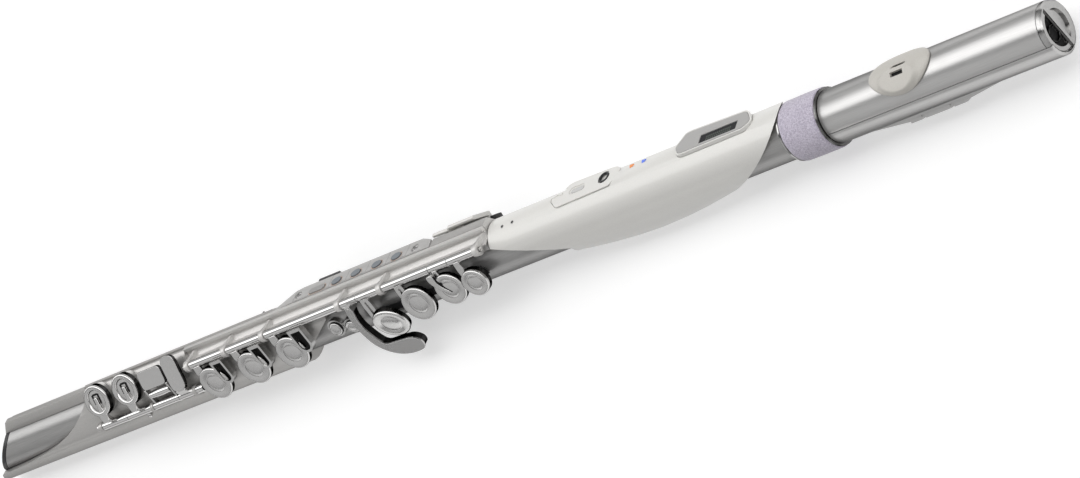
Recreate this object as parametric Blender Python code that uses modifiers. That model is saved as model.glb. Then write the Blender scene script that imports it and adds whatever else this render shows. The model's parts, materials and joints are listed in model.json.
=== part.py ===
"""A digital wind instrument, laid on a table, as an assembly of separate pieces.

Sizes are in millimetres and are turned into metres where a shape is made. Every piece is modelled
round the body tube, whose axis is x. From that axis, f points to the finger keys and h to the deck.
The empty named stance then lays the instrument down on the flats under its two casings.
"""
import math

import bmesh
import bpy
from mathutils import Matrix, Vector

MM = 0.001
GAP = 0.3
WELD = 0.001 * MM

REACH = 40.0

# Driving sizes of the body
TUBE_RADIUS = 11.3
TUBE_WALL = 1.0
TUBE_HEAD_END = 183.2
BORE_RADIUS = TUBE_RADIUS + GAP
FOOT_MIDDLE = -390.5
FOOT_SLANT = 1.0
PLUG_FLANGE = 3.0
PLUG_NECK = 14.0

# The oval section of the casings
CASING_WALL = 1.4
CASING_HALF_WIDTH = BORE_RADIUS + CASING_WALL
CASING_CROWN = BORE_RADIUS + 2.9
CASING_BOTTOM = BORE_RADIUS + 4.8
CROWN_POWER = 2.0
BOTTOM_POWER = 2.4
HOLLOW_EDGE = -0.3
RING_POINTS = 32
REST_DISTANCE = BORE_RADIUS + 3.4
REST_ANGLE = 225.0

# Foot casing
FOOT_HOLLOW = (-306.0, -166.0)
HOLLOW_STEP = 0.6
CASING_END = -128.7
CASING_END_LOW = -161.0
SCOOP_MIDDLE = -305.0
SCOOP_LENGTH = 30.0
SCOOP_FLOOR = -8.8
SCOOP_RISE = 24.6
DECK_START = -308.0
DECK_SEAT = BORE_RADIUS + 0.9
DECK_TOP = BORE_RADIUS + 6.0
DECK_FRONT = 2.7
DECK_CREST = 0.9
RIDGE_TOP = DECK_TOP - 0.7
BED_START = -228.0
BED_SEAT = BORE_RADIUS - 0.4
FOOT_SEAT_ANGLE = 34.0
FOOT_SEAT = BORE_RADIUS + 2.5
FOOT_SEAT_RADIUS = 8.0
FOOT_PLATE_X = (-304.0, -227.5)
FOOT_CUP_PLACES = (-293.9, -271.5)
FOOT_CUP_SHIFT = 4.78
FOOT_CUP_THICKNESS = 4.2
FOOT_TOUCH_RISE = 2.8

# Rods and key tubes
MAIN_ROD = (TUBE_RADIUS + 1.1, TUBE_RADIUS + 0.9)
FOOT_ROD = (CASING_HALF_WIDTH + 3.5, 0.2)
ROD_RADIUS = 0.95
KEY_TUBE_RADIUS = 2.25
KEY_TUBE_BORE = ROD_RADIUS + GAP
OPEN_ANGLE = 8.0

# Key frame
FRAME_END = -15.2
FRAME_WALL_BACK = DECK_FRONT + GAP
FRAME_WALL_FRONT = 4.4
FRAME_LIP = 5.2
FRAME_LIP_DEPTH = 1.7
FRAME_PLATE = 0.7
BED_FRONT = MAIN_ROD[0] - 2.6
POST_WIDTH = 2.9
POST_RADIUS = 2.9
POST_BACK = 8.6
RIB_TOP = DECK_TOP - 2.4
RIB_SHIFT = 4.2
POST_STARTS = (-225.9, -198.0, -169.6, -114.7, -85.5, -20.5)

# Finger keys
DISC_FACE = TUBE_RADIUS + 5.4
DISC_THICKNESS = 3.4
DISC_RADIUS = 9.2
DOME_RADIUS = 4.7
ARM_THICKNESS = 1.9
LOOP_DEPTH = 3.3
LOOP_WALL = 1.3
LEVER_BACK = TUBE_RADIUS + 4.9
LEVER_THICKNESS = 2.5

# Control panel
PANEL_START = -163.0
PANEL_END = -51.0
PANEL_TOP = DECK_TOP + 0.3
PANEL_BACK = -6.0
PANEL_SEAT = DECK_SEAT + 1.5
PANEL_ROOF = 1.5
DECK_BACK = PANEL_BACK
BUTTON_HALF = (3.2, 2.2)
BUTTON_RISE = 0.6
SCREW_PLACES = ((-144.6, -1.3), (-62.2, -1.0))
SCREW_RADIUS = 0.8
SCREW_HEAD = 1.9
BUTTON_MIDDLE = -0.1
ROUND_BUTTON_PLACES = (-116.4, -102.6, -88.0, -74.4)
BAR_BUTTON = (-135.6, -124.6)
BAR_BUTTON_HALF = 1.8

# Thumb keys and rest
SLOPE_ANGLE = 125.0
THUMB_SEAT = BORE_RADIUS + 3.0
THUMB_KEYS = ((-52.3, -42.2, BORE_RADIUS + 6.8), (-41.6, -24.8, BORE_RADIUS + 7.7))
THUMB_REST = (-132.6, -118.0)
THUMB_REST_WIDTH = 1.3

# White belly casing
BELLY_START = -14.6
BELLY_END = 166.0
BELLY_SPLIT = -8.6
BELLY_REST_X = 80.0
BELLY_SLIM = BORE_RADIUS + 0.9
BELLY_DEPTH = 5.5
BELLY_DEEPEST = 72.0
BELLY_RUNS = (48.0, 55.0)
BOARD_SPAN = (46.0, 104.0)
LAMP_RADIUS = 0.9

# The two lids let into the belly casing
LID_ANGLE = 86.0
LID_SEAT = BORE_RADIUS + 1.7
PORT_FACE = BORE_RADIUS + 2.6
POD_FACE = BORE_RADIUS + 3.8
USB_CENTRE = (41.4, -2.1)
USB_HALF = (4.15, 1.35)
JACK_CENTRE = (58.0, -2.7)
JACK_RADIUS = 3.1
JACK_BORE = 1.75
SCREEN_X = (118.7, 140.3)
SCREEN_F = (-2.4, 2.3)

# Head joint
SLEEVE_START = 163.3
SLEEVE_END = 183.4
SLEEVE_RADIUS = BORE_RADIUS + 2.1
RING_RADIUS = BORE_RADIUS + 1.7
RING_WIDTH = 0.8
HEAD_START = 184.7
HEAD_RADIUS = TUBE_RADIUS + 0.8
HEAD_WALL = 1.1
HEAD_BORE = HEAD_RADIUS - HEAD_WALL
HEAD_FLANGE = 2.0
SPIGOT_RADIUS = TUBE_RADIUS - TUBE_WALL - GAP
SPIGOT_WALL = 1.0
SPIGOT_START = 150.0
BATTERY_RADIUS = 7.1
BATTERY_LENGTH = 50.0
BATTERY_START = 197.0
BATTERY_SPACE = 0.5
CONTACT_DEPTH = 4.5
BATTERY_DROP = HEAD_BORE - GAP - BATTERY_RADIUS
HEAD_END = BATTERY_START + 2 * BATTERY_LENGTH + BATTERY_SPACE + CONTACT_DEPTH
END_FACE = HEAD_END + 2.8
END_STEP = 0.8
LIP_X = 230.5
LIP_ANGLE = 75.0
LIP_HALF = (16.5, 11.2)
LIP_THICKNESS = 1.6
SADDLE_RISE = 1.2
GRIP_START = 219.3
GRIP_RIBS = (6.0, 13.2, 6.0)
GRIP_GROOVE = 2.1
GRIP_RISE = 2.9


def place(x, f, h):
    """A point of the instrument, in metres in the frame of the stance."""
    return Vector((x, -f, h)) * MM


def off_axis(angle, normal, tangent=0.0):
    """The (f, h) of a point at a distance along the direction at angle, moved along its tangent."""
    turn = math.radians(angle)
    f = normal * math.cos(turn) - tangent * math.sin(turn)
    h = normal * math.sin(turn) + tangent * math.cos(turn)
    return (f, h)


def finish_mesh(mesh):
    """Welds a mesh and turns its faces outward."""
    work = bmesh.new()
    work.from_mesh(mesh)
    bmesh.ops.remove_doubles(work, verts=work.verts, dist=WELD)
    bmesh.ops.recalc_face_normals(work, faces=work.faces)
    work.to_mesh(mesh)
    work.free()


def baked(source):
    """Replaces an object by the plain mesh that it evaluates to."""
    bpy.context.view_layer.update()
    graph = bpy.context.evaluated_depsgraph_get()
    mesh = bpy.data.meshes.new_from_object(source.evaluated_get(graph))
    mesh.transform(source.matrix_world)
    finish_mesh(mesh)
    result = bpy.data.objects.new("shape", mesh)
    bpy.context.scene.collection.objects.link(result)
    bpy.data.objects.remove(source)
    return result


AXIS_FRAMES = {
    "x": Matrix(((0, 0, -1), (-1, 0, 0), (0, 1, 0))),
    "f": Matrix(((1, 0, 0), (0, 0, -1), (0, 1, 0))),
    "h": Matrix(((1, 0, 0), (0, -1, 0), (0, 0, -1))),
}
AXIS_SIGN = {"x": -1, "f": 1, "h": -1}
AXIS_DIRECTION = {"x": Vector((1, 0, 0)), "f": Vector((0, -1, 0)), "h": Vector((0, 0, 1))}


def prism(points, axis, start, end):
    """A flat outline pushed along an axis. Its points are (f, h), (x, h) or (x, f)."""
    curve = bpy.data.curves.new("outline", "CURVE")
    curve.dimensions = "2D"
    curve.fill_mode = "BOTH"
    curve.extrude = abs(end - start) / 2 * MM
    spline = curve.splines.new("POLY")
    spline.points.add(len(points) - 1)
    for spot, (across, up) in zip(spline.points, points):
        spot.co = (across * MM, up * MM, 0, 1)
    spline.use_cyclic_u = True
    shape = bpy.data.objects.new("outline", curve)
    bpy.context.scene.collection.objects.link(shape)
    middle = Vector((0, 0, AXIS_SIGN[axis] * (start + end) / 2 * MM))
    shape.matrix_world = AXIS_FRAMES[axis].to_4x4() @ Matrix.Translation(middle)
    return baked(shape)


def box(x_range, f_range, h_range):
    """A block between two corners."""
    (f_low, f_high), (h_low, h_high) = f_range, h_range
    corners = ((f_low, h_low), (f_high, h_low), (f_high, h_high), (f_low, h_high))
    return prism(corners, "x", x_range[0], x_range[1])


def turned(profile, centre, axis="x", steps=32, closed=False, angle=0.0):
    """A profile of (distance along the axis, radius) turned round an axis through centre."""
    points = [(radius * MM, 0, along * MM) for along, radius in profile]
    edges = [(i, i + 1) for i in range(len(points) - 1)]
    if closed:
        edges.append((len(points) - 1, 0))
    mesh = bpy.data.meshes.new("profile")
    mesh.from_pydata(points, edges, [])
    shape = bpy.data.objects.new("profile", mesh)
    bpy.context.scene.collection.objects.link(shape)
    screw = shape.modifiers.new("Turn", "SCREW")
    screw.axis = "Z"
    screw.steps = steps
    screw.render_steps = steps
    screw.use_merge_vertices = True
    screw.merge_threshold = WELD
    spin = Vector((0, 0, 1)).rotation_difference(AXIS_DIRECTION[axis]).to_matrix().to_4x4()
    lean = Matrix.Rotation(-math.radians(angle), 4, "X")
    shape.matrix_world = lean @ Matrix.Translation(place(*centre)) @ spin
    return baked(shape)


def ring(x_range, outer, inner, centre=(0.0, 0.0), steps=32):
    """A tube along x."""
    start, end = x_range
    profile = ((start, inner), (start, outer), (end, outer), (end, inner))
    return turned(profile, (0, *centre), steps=steps, closed=True)


def cylinder(along, radius, centre, axis="x", steps=24, angle=0.0):
    """A plain round bar."""
    start, end = along
    profile = ((start, 0), (start, radius), (end, radius), (end, 0))
    return turned(profile, centre, axis, steps, angle=angle)


def leaned(shape, angle):
    """Turns a shape round the body tube, from f toward h."""
    shape.data.transform(Matrix.Rotation(-math.radians(angle), 4, "X"))
    return shape


def combined(shape, other, operation):
    """A shape joined with, cut by or kept within another, which is used up."""
    step = shape.modifiers.new("Combine", "BOOLEAN")
    step.operation = operation
    step.object = other
    result = baked(shape)
    bpy.data.objects.remove(other)
    return result


def joined(shape, *others):
    for other in others:
        shape = combined(shape, other, "UNION")
    return shape


def cut(shape, *cutters):
    for cutter in cutters:
        shape = combined(shape, cutter, "DIFFERENCE")
    return shape


def bar(start, end, width, x_range):
    """A flat bar between two (f, h) points, as thick as width."""
    along = Vector(end) - Vector(start)
    side = Vector((-along.y, along.x)).normalized() * width / 2
    first, last = Vector(start), Vector(end)
    corners = [tuple(first + side), tuple(first - side), tuple(last - side), tuple(last + side)]
    return prism(corners, "x", x_range[0], x_range[1])


def arc(centre, radius, start, end, count):
    """Points along an arc, with its angles in degrees."""
    points = []
    for i in range(count):
        turn = math.radians(start + (end - start) * i / (count - 1))
        points.append((centre[0] + radius * math.cos(turn), centre[1] + radius * math.sin(turn)))
    return points


def grown(outline, margin):
    """An outline with its sides moved outward by a margin."""
    following = outline[1:] + outline[:1]
    area = sum(here[0] * after[1] - after[0] * here[1] for here, after in zip(outline, following))
    reach = margin if area > 0 else -margin
    result = []
    for before, here, after in zip(outline[-1:] + outline[:-1], outline, following):
        first = (Vector(here) - Vector(before)).normalized()
        second = (Vector(after) - Vector(here)).normalized()
        side = Vector((first.y, -first.x))
        corner = (side + Vector((second.y, -second.x))).normalized()
        moved = Vector(here) + corner * reach / corner.dot(side)
        result.append((moved.x, moved.y))
    return result


def oval_outline(centre, half, count=20):
    """An oval by its two half widths."""
    turns = [2 * math.pi * i / count for i in range(count)]
    return [(centre[0] + half[0] * math.cos(turn), centre[1] + half[1] * math.sin(turn)) for turn in turns]


def slot_outline(span, middle, half):
    """A long hole with round ends."""
    start, end = span
    return arc((end - half, middle), half, -90, 90, 7) + arc((start + half, middle), half, 90, 270, 7)


def oval_radius(turn, inset=0.0, bottom=CASING_BOTTOM):
    """How far the casing's oval, drawn in by inset, lies from the tube's axis."""
    upper = math.sin(turn) > 0
    power = CROWN_POWER if upper else BOTTOM_POWER
    height = (CASING_CROWN if upper else bottom) - inset
    across = abs(math.cos(turn)) / (CASING_HALF_WIDTH - inset)
    up = abs(math.sin(turn)) / height
    return (across ** power + up ** power) ** (-1 / power)


def hollow_radius(turn, bottom=CASING_BOTTOM):
    """The inner side of a casing, which is hollow under the tube and keeps its wall at the rest flat."""
    if math.sin(turn) > HOLLOW_EDGE:
        return BORE_RADIUS
    radius = oval_radius(turn, CASING_WALL, bottom)
    lean = math.cos(turn - math.radians(REST_ANGLE))
    if lean > 0:
        radius = min(radius, (REST_DISTANCE - CASING_WALL) / lean)
    return max(BORE_RADIUS, radius)


def bore_radius(turn):
    return BORE_RADIUS


def ring_turns():
    return [2 * math.pi * i / RING_POINTS for i in range(RING_POINTS)]


def ring_outline(radius_at):
    """The (f, h) outline of a casing section."""
    return [(radius_at(turn) * math.cos(turn), radius_at(turn) * math.sin(turn)) for turn in ring_turns()]


def lofted_shell(stations):
    """A shell between sections. A station is x, the outer and the inner radius as functions."""
    work = bmesh.new()
    rings = []
    for x, outer, inner in stations:
        pair = []
        for radius_at in (outer, inner):
            pair.append([work.verts.new(place(x, f, h)) for f, h in ring_outline(radius_at)])
        rings.append(pair)
    def skin(first, second):
        for i in range(RING_POINTS):
            following = (i + 1) % RING_POINTS
            work.faces.new((first[i], first[following], second[following], second[i]))
    for (outer, inner), (next_outer, next_inner) in zip(rings, rings[1:]):
        skin(outer, next_outer)
        skin(inner, next_inner)
    skin(rings[0][0], rings[0][1])
    skin(rings[-1][0], rings[-1][1])
    mesh = bpy.data.meshes.new("shell")
    work.to_mesh(mesh)
    work.free()
    finish_mesh(mesh)
    shape = bpy.data.objects.new("shell", mesh)
    bpy.context.scene.collection.objects.link(shape)
    return shape


def rest_cutter(x_range):
    """What lies below the surface that the instrument rests on."""
    corners = [off_axis(REST_ANGLE, REST_DISTANCE, -REACH), off_axis(REST_ANGLE, REST_DISTANCE, REACH),
               off_axis(REST_ANGLE, REST_DISTANCE + REACH, REACH), off_axis(REST_ANGLE, REST_DISTANCE + REACH, -REACH)]
    return prism(corners, "x", *x_range)


def rod_clearance(x_range, rod):
    return cylinder(x_range, POST_RADIUS + GAP, (0, *rod), steps=16)


def clear_of_tube(shape, x_range):
    """Takes away what would run into the body tube."""
    return cut(shape, cylinder((x_range[0] - GAP, x_range[1] + GAP), BORE_RADIUS, (0, 0, 0), steps=32))


MATERIALS = {
    "silver": ((0.43, 0.41, 0.39), 0.35, 0.9),
    "dark_silver": ((0.26, 0.26, 0.255), 0.4, 0.9),
    "chrome": ((0.6, 0.6, 0.6), 0.12, 1.0),
    "white": ((0.76, 0.75, 0.72), 0.35, 0.0),
    "warm_grey": ((0.55, 0.53, 0.5), 0.5, 0.0),
    "panel": ((0.43, 0.42, 0.41), 0.45, 0.3),
    "button": ((0.17, 0.19, 0.21), 0.45, 0.0),
    "black": ((0.02, 0.02, 0.02), 0.4, 0.0),
    "fabric": ((0.53, 0.5, 0.58), 0.9, 0.0),
    "orange": ((0.9, 0.25, 0.03), 0.3, 0.0),
    "blue": ((0.05, 0.2, 0.9), 0.3, 0.0),
    "green": ((0.03, 0.2, 0.08), 0.5, 0.0),
    "cell": ((0.25, 0.3, 0.28), 0.4, 0.2),
}


def material(look, name):
    colour, roughness, metallic = MATERIALS[look]
    made = bpy.data.materials.new(name)
    made.use_nodes = True
    shader = made.node_tree.nodes["Principled BSDF"]
    shader.inputs["Base Color"].default_value = (*colour, 1)
    shader.inputs["Roughness"].default_value = roughness
    shader.inputs["Metallic"].default_value = metallic
    return made


def piece(name, shape, look, pivot=(0, 0, 0), open_angle=0.0):
    """Names a shape, puts its origin on its pivot and lays it down with the stance."""
    origin = place(*pivot)
    shape.data.transform(Matrix.Translation(-origin))
    shape.name = name
    shape.data.name = name
    shape.location = origin
    shape.rotation_euler = (math.radians(open_angle), 0, 0)
    shape.parent = STANCE
    shape.data.materials.clear()
    shape.data.materials.append(material(look, name))
    shape.data.shade_smooth()
    shape.data.set_sharp_from_angle(angle=math.radians(35))
    bpy.context.scene.collection.objects.unlink(shape)
    PARTS.objects.link(shape)
    return shape


def foot_cut(offset=0.0):
    """Everything to the left of the slanted plane that ends the foot, moved along x by offset."""
    middle = FOOT_MIDDLE + offset
    corners = [(middle + FOOT_SLANT * REACH, REACH), (middle - FOOT_SLANT * REACH, -REACH),
               (middle - 2 * REACH, -REACH), (middle - 2 * REACH, REACH)]
    return prism(corners, "f", -REACH, REACH)


def foot_start():
    """Where a shape starts that the slanted plane cuts off."""
    return FOOT_MIDDLE - FOOT_SLANT * CASING_BOTTOM - 2.0


def make_body_tube():
    flange = PLUG_FLANGE + GAP * math.sqrt(1 + FOOT_SLANT ** 2)
    shape = ring((foot_start(), TUBE_HEAD_END), TUBE_RADIUS, TUBE_RADIUS - TUBE_WALL, steps=32)
    piece("body_tube", cut(shape, foot_cut(flange)), "dark_silver")
    neck_radius = TUBE_RADIUS - TUBE_WALL - GAP
    plug = cut(cylinder((foot_start(), FOOT_MIDDLE + FOOT_SLANT * TUBE_RADIUS + PLUG_FLANGE), TUBE_RADIUS, (0, 0, 0),
                        steps=32), foot_cut())
    keep = foot_cut(PLUG_FLANGE)
    plug = combined(plug, keep, "INTERSECT")
    neck = cut(cylinder((foot_start(), FOOT_MIDDLE + FOOT_SLANT * TUBE_RADIUS + PLUG_NECK), neck_radius, (0, 0, 0),
                        steps=24), foot_cut(PLUG_FLANGE / 2))
    piece("foot_plug", joined(plug, neck), "black")


def scoop_cutter():
    """The cut-away at the foot, above a curve that climbs toward the keys."""
    count = 12
    top = RIDGE_TOP + 1.0
    last = SCOOP_MIDDLE + SCOOP_LENGTH * math.log((top - SCOOP_FLOOR) / SCOOP_RISE)
    first = foot_start() - 1.0
    points = []
    for i in range(count):
        x = last + (first - last) * (i / (count - 1)) ** 2
        points.append((x, SCOOP_FLOOR + SCOOP_RISE * math.exp((x - SCOOP_MIDDLE) / SCOOP_LENGTH)))
    points += [(first, REACH), (last, REACH)]
    return prism(points, "f", FRAME_WALL_FRONT, REACH)


def make_foot_casing():
    start = foot_start()
    hollow_start, hollow_end = FOOT_HOLLOW
    stations = [(start, oval_radius, bore_radius), (hollow_start, oval_radius, bore_radius),
                (hollow_start + HOLLOW_STEP, oval_radius, hollow_radius), (hollow_end, oval_radius, hollow_radius),
                (hollow_end + HOLLOW_STEP, oval_radius, bore_radius), (CASING_END + 1, oval_radius, bore_radius)]
    shape = lofted_shell(stations)
    foot = BORE_RADIUS + 0.8
    back = FRAME_WALL_BACK
    front_ridge = [(back, foot), (back, RIDGE_TOP), (FRAME_WALL_FRONT + 0.2, RIDGE_TOP), (8.4, CASING_CROWN - 1.2),
                   off_axis(43, CASING_HALF_WIDTH + 0.5), off_axis(48.5, BORE_RADIUS + 1.2)]
    back_ridge = [(back + 0.2, foot - 0.1), (back + 0.2, RIDGE_TOP), (1.2, RIDGE_TOP), (PANEL_BACK - 0.3, foot - 0.1)]
    shape = joined(shape, prism(front_ridge, "x", start, BED_START - GAP),
                   prism(back_ridge, "x", start, DECK_START - GAP))
    for x in FOOT_CUP_PLACES:
        seat = cylinder((FOOT_SEAT - 2.3, FOOT_SEAT), FOOT_SEAT_RADIUS, (x, 0, FOOT_CUP_SHIFT), "f")
        shape = joined(shape, leaned(seat, FOOT_SEAT_ANGLE))
    shape = clear_of_tube(shape, (BED_START - 100, CASING_END + 5))
    bed_x = (BED_START - GAP, CASING_END + 5)
    shape = cut(shape, box((DECK_START - GAP, CASING_END + 5), (-REACH, FRAME_WALL_BACK), (DECK_SEAT, REACH)))
    shape = cut(shape, box(bed_x, (FRAME_WALL_BACK - 0.1, FRAME_WALL_FRONT), (DECK_SEAT, REACH)))
    shape = cut(shape, box(bed_x, (FRAME_WALL_FRONT - 0.1, REACH), (BED_SEAT, REACH)))
    shape = cut(shape, rod_clearance(bed_x, MAIN_ROD), scoop_cutter(), foot_cut())
    slant_end = [(CASING_END, REACH), (CASING_END, 7), (CASING_END_LOW, -10), (CASING_END_LOW, -REACH),
                 (CASING_END + REACH, -REACH), (CASING_END + REACH, REACH)]
    shape = cut(shape, prism(slant_end, "f", -REACH, REACH), rest_cutter((start - 1, CASING_END + 5)))
    piece("foot_casing", shape, "silver")


def make_key_frame():
    wall_foot = DECK_SEAT + GAP
    plate_foot = BED_SEAT + GAP
    plate_back = FRAME_WALL_FRONT + GAP
    plate_top = plate_foot + FRAME_PLATE
    lip_bottom = DECK_TOP - FRAME_LIP_DEPTH
    fillet = 1.8
    section = [(FRAME_WALL_BACK, DECK_TOP), (FRAME_WALL_BACK, wall_foot), (plate_back, wall_foot),
               (plate_back, plate_foot), (BED_FRONT, plate_foot), (BED_FRONT, plate_top),
               (FRAME_WALL_FRONT + fillet, plate_top), (FRAME_WALL_FRONT, plate_top + fillet),
               (FRAME_WALL_FRONT, lip_bottom), (FRAME_LIP, lip_bottom), (FRAME_LIP, DECK_TOP)]
    shape = prism(section, "x", BED_START, FRAME_END)
    post = [(POST_BACK, plate_foot + 0.3), (BED_FRONT - 0.6, plate_foot + 0.3)]
    post += arc(MAIN_ROD, POST_RADIUS, -145, 100, 13)
    post += [(POST_BACK, MAIN_ROD[1] + 2.2)]
    slope = [(FRAME_WALL_FRONT - 1, RIB_TOP + 0.3), (POST_BACK + 3, MAIN_ROD[1] + 1.6), (POST_BACK + 3, REACH),
             (FRAME_WALL_FRONT - 1, REACH)]
    for start in POST_STARTS:
        end = start + POST_WIDTH
        rib = [(start + RIB_SHIFT - 0.7, FRAME_WALL_FRONT - 0.5), (start + RIB_SHIFT + 0.6, FRAME_WALL_FRONT - 0.5),
               (end - 0.1, POST_BACK + 0.6), (start + 0.1, POST_BACK + 0.6)]
        rib_x = (start - 2, end + RIB_SHIFT)
        rib = cut(prism(rib, "h", plate_foot + 0.2, RIB_TOP + 1), prism(slope, "x", *rib_x),
                  box(rib_x, (0, plate_back + 0.02), (0, wall_foot + 0.02)))
        shape = joined(shape, prism(post, "x", start, end), rib)
    saddle_top = plate_foot + 0.4
    for start in POST_STARTS[3:]:
        saddle_x = (start - 1, min(start + POST_WIDTH + 1, FRAME_END - 0.2))
        saddle = box(saddle_x, (FRAME_WALL_BACK + 2.2, BED_FRONT - 1.2), (5, saddle_top))
        shape = joined(shape, clear_of_tube(saddle, saddle_x))
    bore = cylinder((BED_START - 5, FRAME_END + 5), KEY_TUBE_BORE, (0, *MAIN_ROD), steps=12)
    piece("key_frame", cut(shape, bore), "silver")


def make_deck():
    foot = DECK_SEAT + GAP
    bar_section = [(DECK_FRONT, DECK_TOP), (DECK_CREST, DECK_TOP), (DECK_BACK, foot), (DECK_FRONT, foot)]
    left = prism(bar_section, "x", DECK_START, PANEL_START - GAP)
    base_section = [(DECK_FRONT, PANEL_SEAT), (DECK_BACK + 1, PANEL_SEAT), (DECK_BACK, foot), (DECK_FRONT, foot)]
    base = prism(base_section, "x", PANEL_START - 2, PANEL_END + 2)
    plateau_section = [(DECK_FRONT, DECK_TOP), (DECK_BACK + 3.2, DECK_TOP), (DECK_BACK, foot), (DECK_FRONT, foot)]
    plateau = prism(plateau_section, "x", PANEL_END + GAP, FRAME_END)
    saddle = arc((0, 0), BORE_RADIUS, 110, 79, 5)
    saddle += [(saddle[-1][0], foot + 0.5), (saddle[0][0], foot + 0.5)]
    saddles = [prism(saddle, "x", x - 2, x + 2) for x in (-112.0, -70.0, -30.0)]
    base = joined(base, *saddles[:2])
    plateau = joined(plateau, saddles[2])
    shape = joined(left, base, plateau)
    for x, f in SCREW_PLACES:
        shape = cut(shape, cylinder((foot - 1, PANEL_SEAT + 1), SCREW_RADIUS + GAP, (x, f, 0), "h", 12))
    piece("deck_cover", shape, "silver")


def make_control_panel():
    seat = PANEL_SEAT + GAP
    roof = PANEL_TOP - PANEL_ROOF
    outline = [(PANEL_START, DECK_FRONT), (PANEL_START + 6, -0.2), (PANEL_START + 11, -3.1),
               (PANEL_START + 14.5, PANEL_BACK + 1), (PANEL_START + 20, PANEL_BACK), (PANEL_END - 8, PANEL_BACK),
               (PANEL_END - 1.2, PANEL_BACK / 2), (PANEL_END, DECK_FRONT)]
    shape = prism(outline, "h", seat, PANEL_TOP)
    ramp_end = PANEL_START + 16
    ramp = [(PANEL_START - 2, PANEL_TOP + 1), (PANEL_START - 2, DECK_TOP - 0.5), (ramp_end, PANEL_TOP + 0.05),
            (ramp_end, PANEL_TOP + 1)]
    shape = cut(shape, prism(ramp, "f", -REACH, REACH))
    hollow_x = (SCREW_PLACES[0][0] + SCREW_HEAD + 1.3, SCREW_PLACES[1][0] - SCREW_HEAD - 1.3)
    hollow_f = (PANEL_BACK + 1.4, DECK_FRONT - 1.0)
    shape = cut(shape, box(hollow_x, hollow_f, (seat - 1, roof)))
    board = box((hollow_x[0] + GAP, hollow_x[1] - GAP), (hollow_f[0] + GAP, hollow_f[1] - GAP), (seat, seat + 1.0))
    piece("control_board", board, "green")
    cap = (roof - 0.2, PANEL_TOP + BUTTON_RISE)
    edge = 0.4
    buttons = [("panel_button_%d" % number, oval_outline((x, BUTTON_MIDDLE), BUTTON_HALF))
               for number, x in enumerate(ROUND_BUTTON_PLACES, start=1)]
    buttons.append(("panel_bar_button", slot_outline(BAR_BUTTON, BUTTON_MIDDLE + 0.3, BAR_BUTTON_HALF)))
    for name, button in buttons:
        shape = cut(shape, prism(grown(button, GAP), "h", roof - 1, PANEL_TOP + 1))
        base = prism(button, "h", cap[0], cap[1] - edge)
        piece(name, joined(base, prism(grown(button, -edge), "h", cap[0] + edge, cap[1])), "button")
    low = DECK_SEAT + GAP + 0.4
    for number, (x, f) in enumerate(SCREW_PLACES, start=1):
        shape = cut(shape, cylinder((PANEL_TOP - 1.0, PANEL_TOP + 1), SCREW_HEAD + GAP, (x, f, 0), "h", 20))
        shape = cut(shape, cylinder((seat - 1, PANEL_TOP), SCREW_RADIUS + GAP, (x, f, 0), "h", 12))
        profile = ((low, 0), (low, SCREW_RADIUS), (PANEL_TOP - 0.7, SCREW_RADIUS), (PANEL_TOP - 0.7, SCREW_HEAD),
                   (PANEL_TOP - 0.1, SCREW_HEAD), (PANEL_TOP + 0.1, SCREW_HEAD - 0.4), (PANEL_TOP + 0.1, 0))
        screw = turned(profile, (x, f, 0), "h", 16)
        for size in ((1.2, 0.2), (0.2, 1.2)):
            slot = box((x - size[0], x + size[0]), (f - size[1], f + size[1]), (PANEL_TOP - 0.3, PANEL_TOP + 1))
            screw = cut(screw, slot)
        piece("panel_screw_%d" % number, screw, "chrome")
    piece("control_panel", shape, "panel")


def make_thumb_rest():
    start, end = THUMB_REST
    back = PANEL_BACK - GAP
    front = back - THUMB_REST_WIDTH
    top = PANEL_TOP + 0.1
    foot = arc((0, 0), BORE_RADIUS + 0.15, 122.4, 152.8, 5)
    section = [(back, top)] + foot + [off_axis(150.3, BORE_RADIUS + 1.5), (front - 1.4, DECK_SEAT + 0.5),
                                      (front, top - 0.5), (front, top)]
    head = [(back, top), (back, DECK_SEAT + 0.8), (front - 0.9, DECK_SEAT + 0.8), (front, top - 0.5), (front, top)]
    shape = joined(prism(section, "x", CASING_END + 0.4, end), prism(head, "x", start, end - 0.4))
    piece("thumb_rest", shape, "black")


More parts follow.
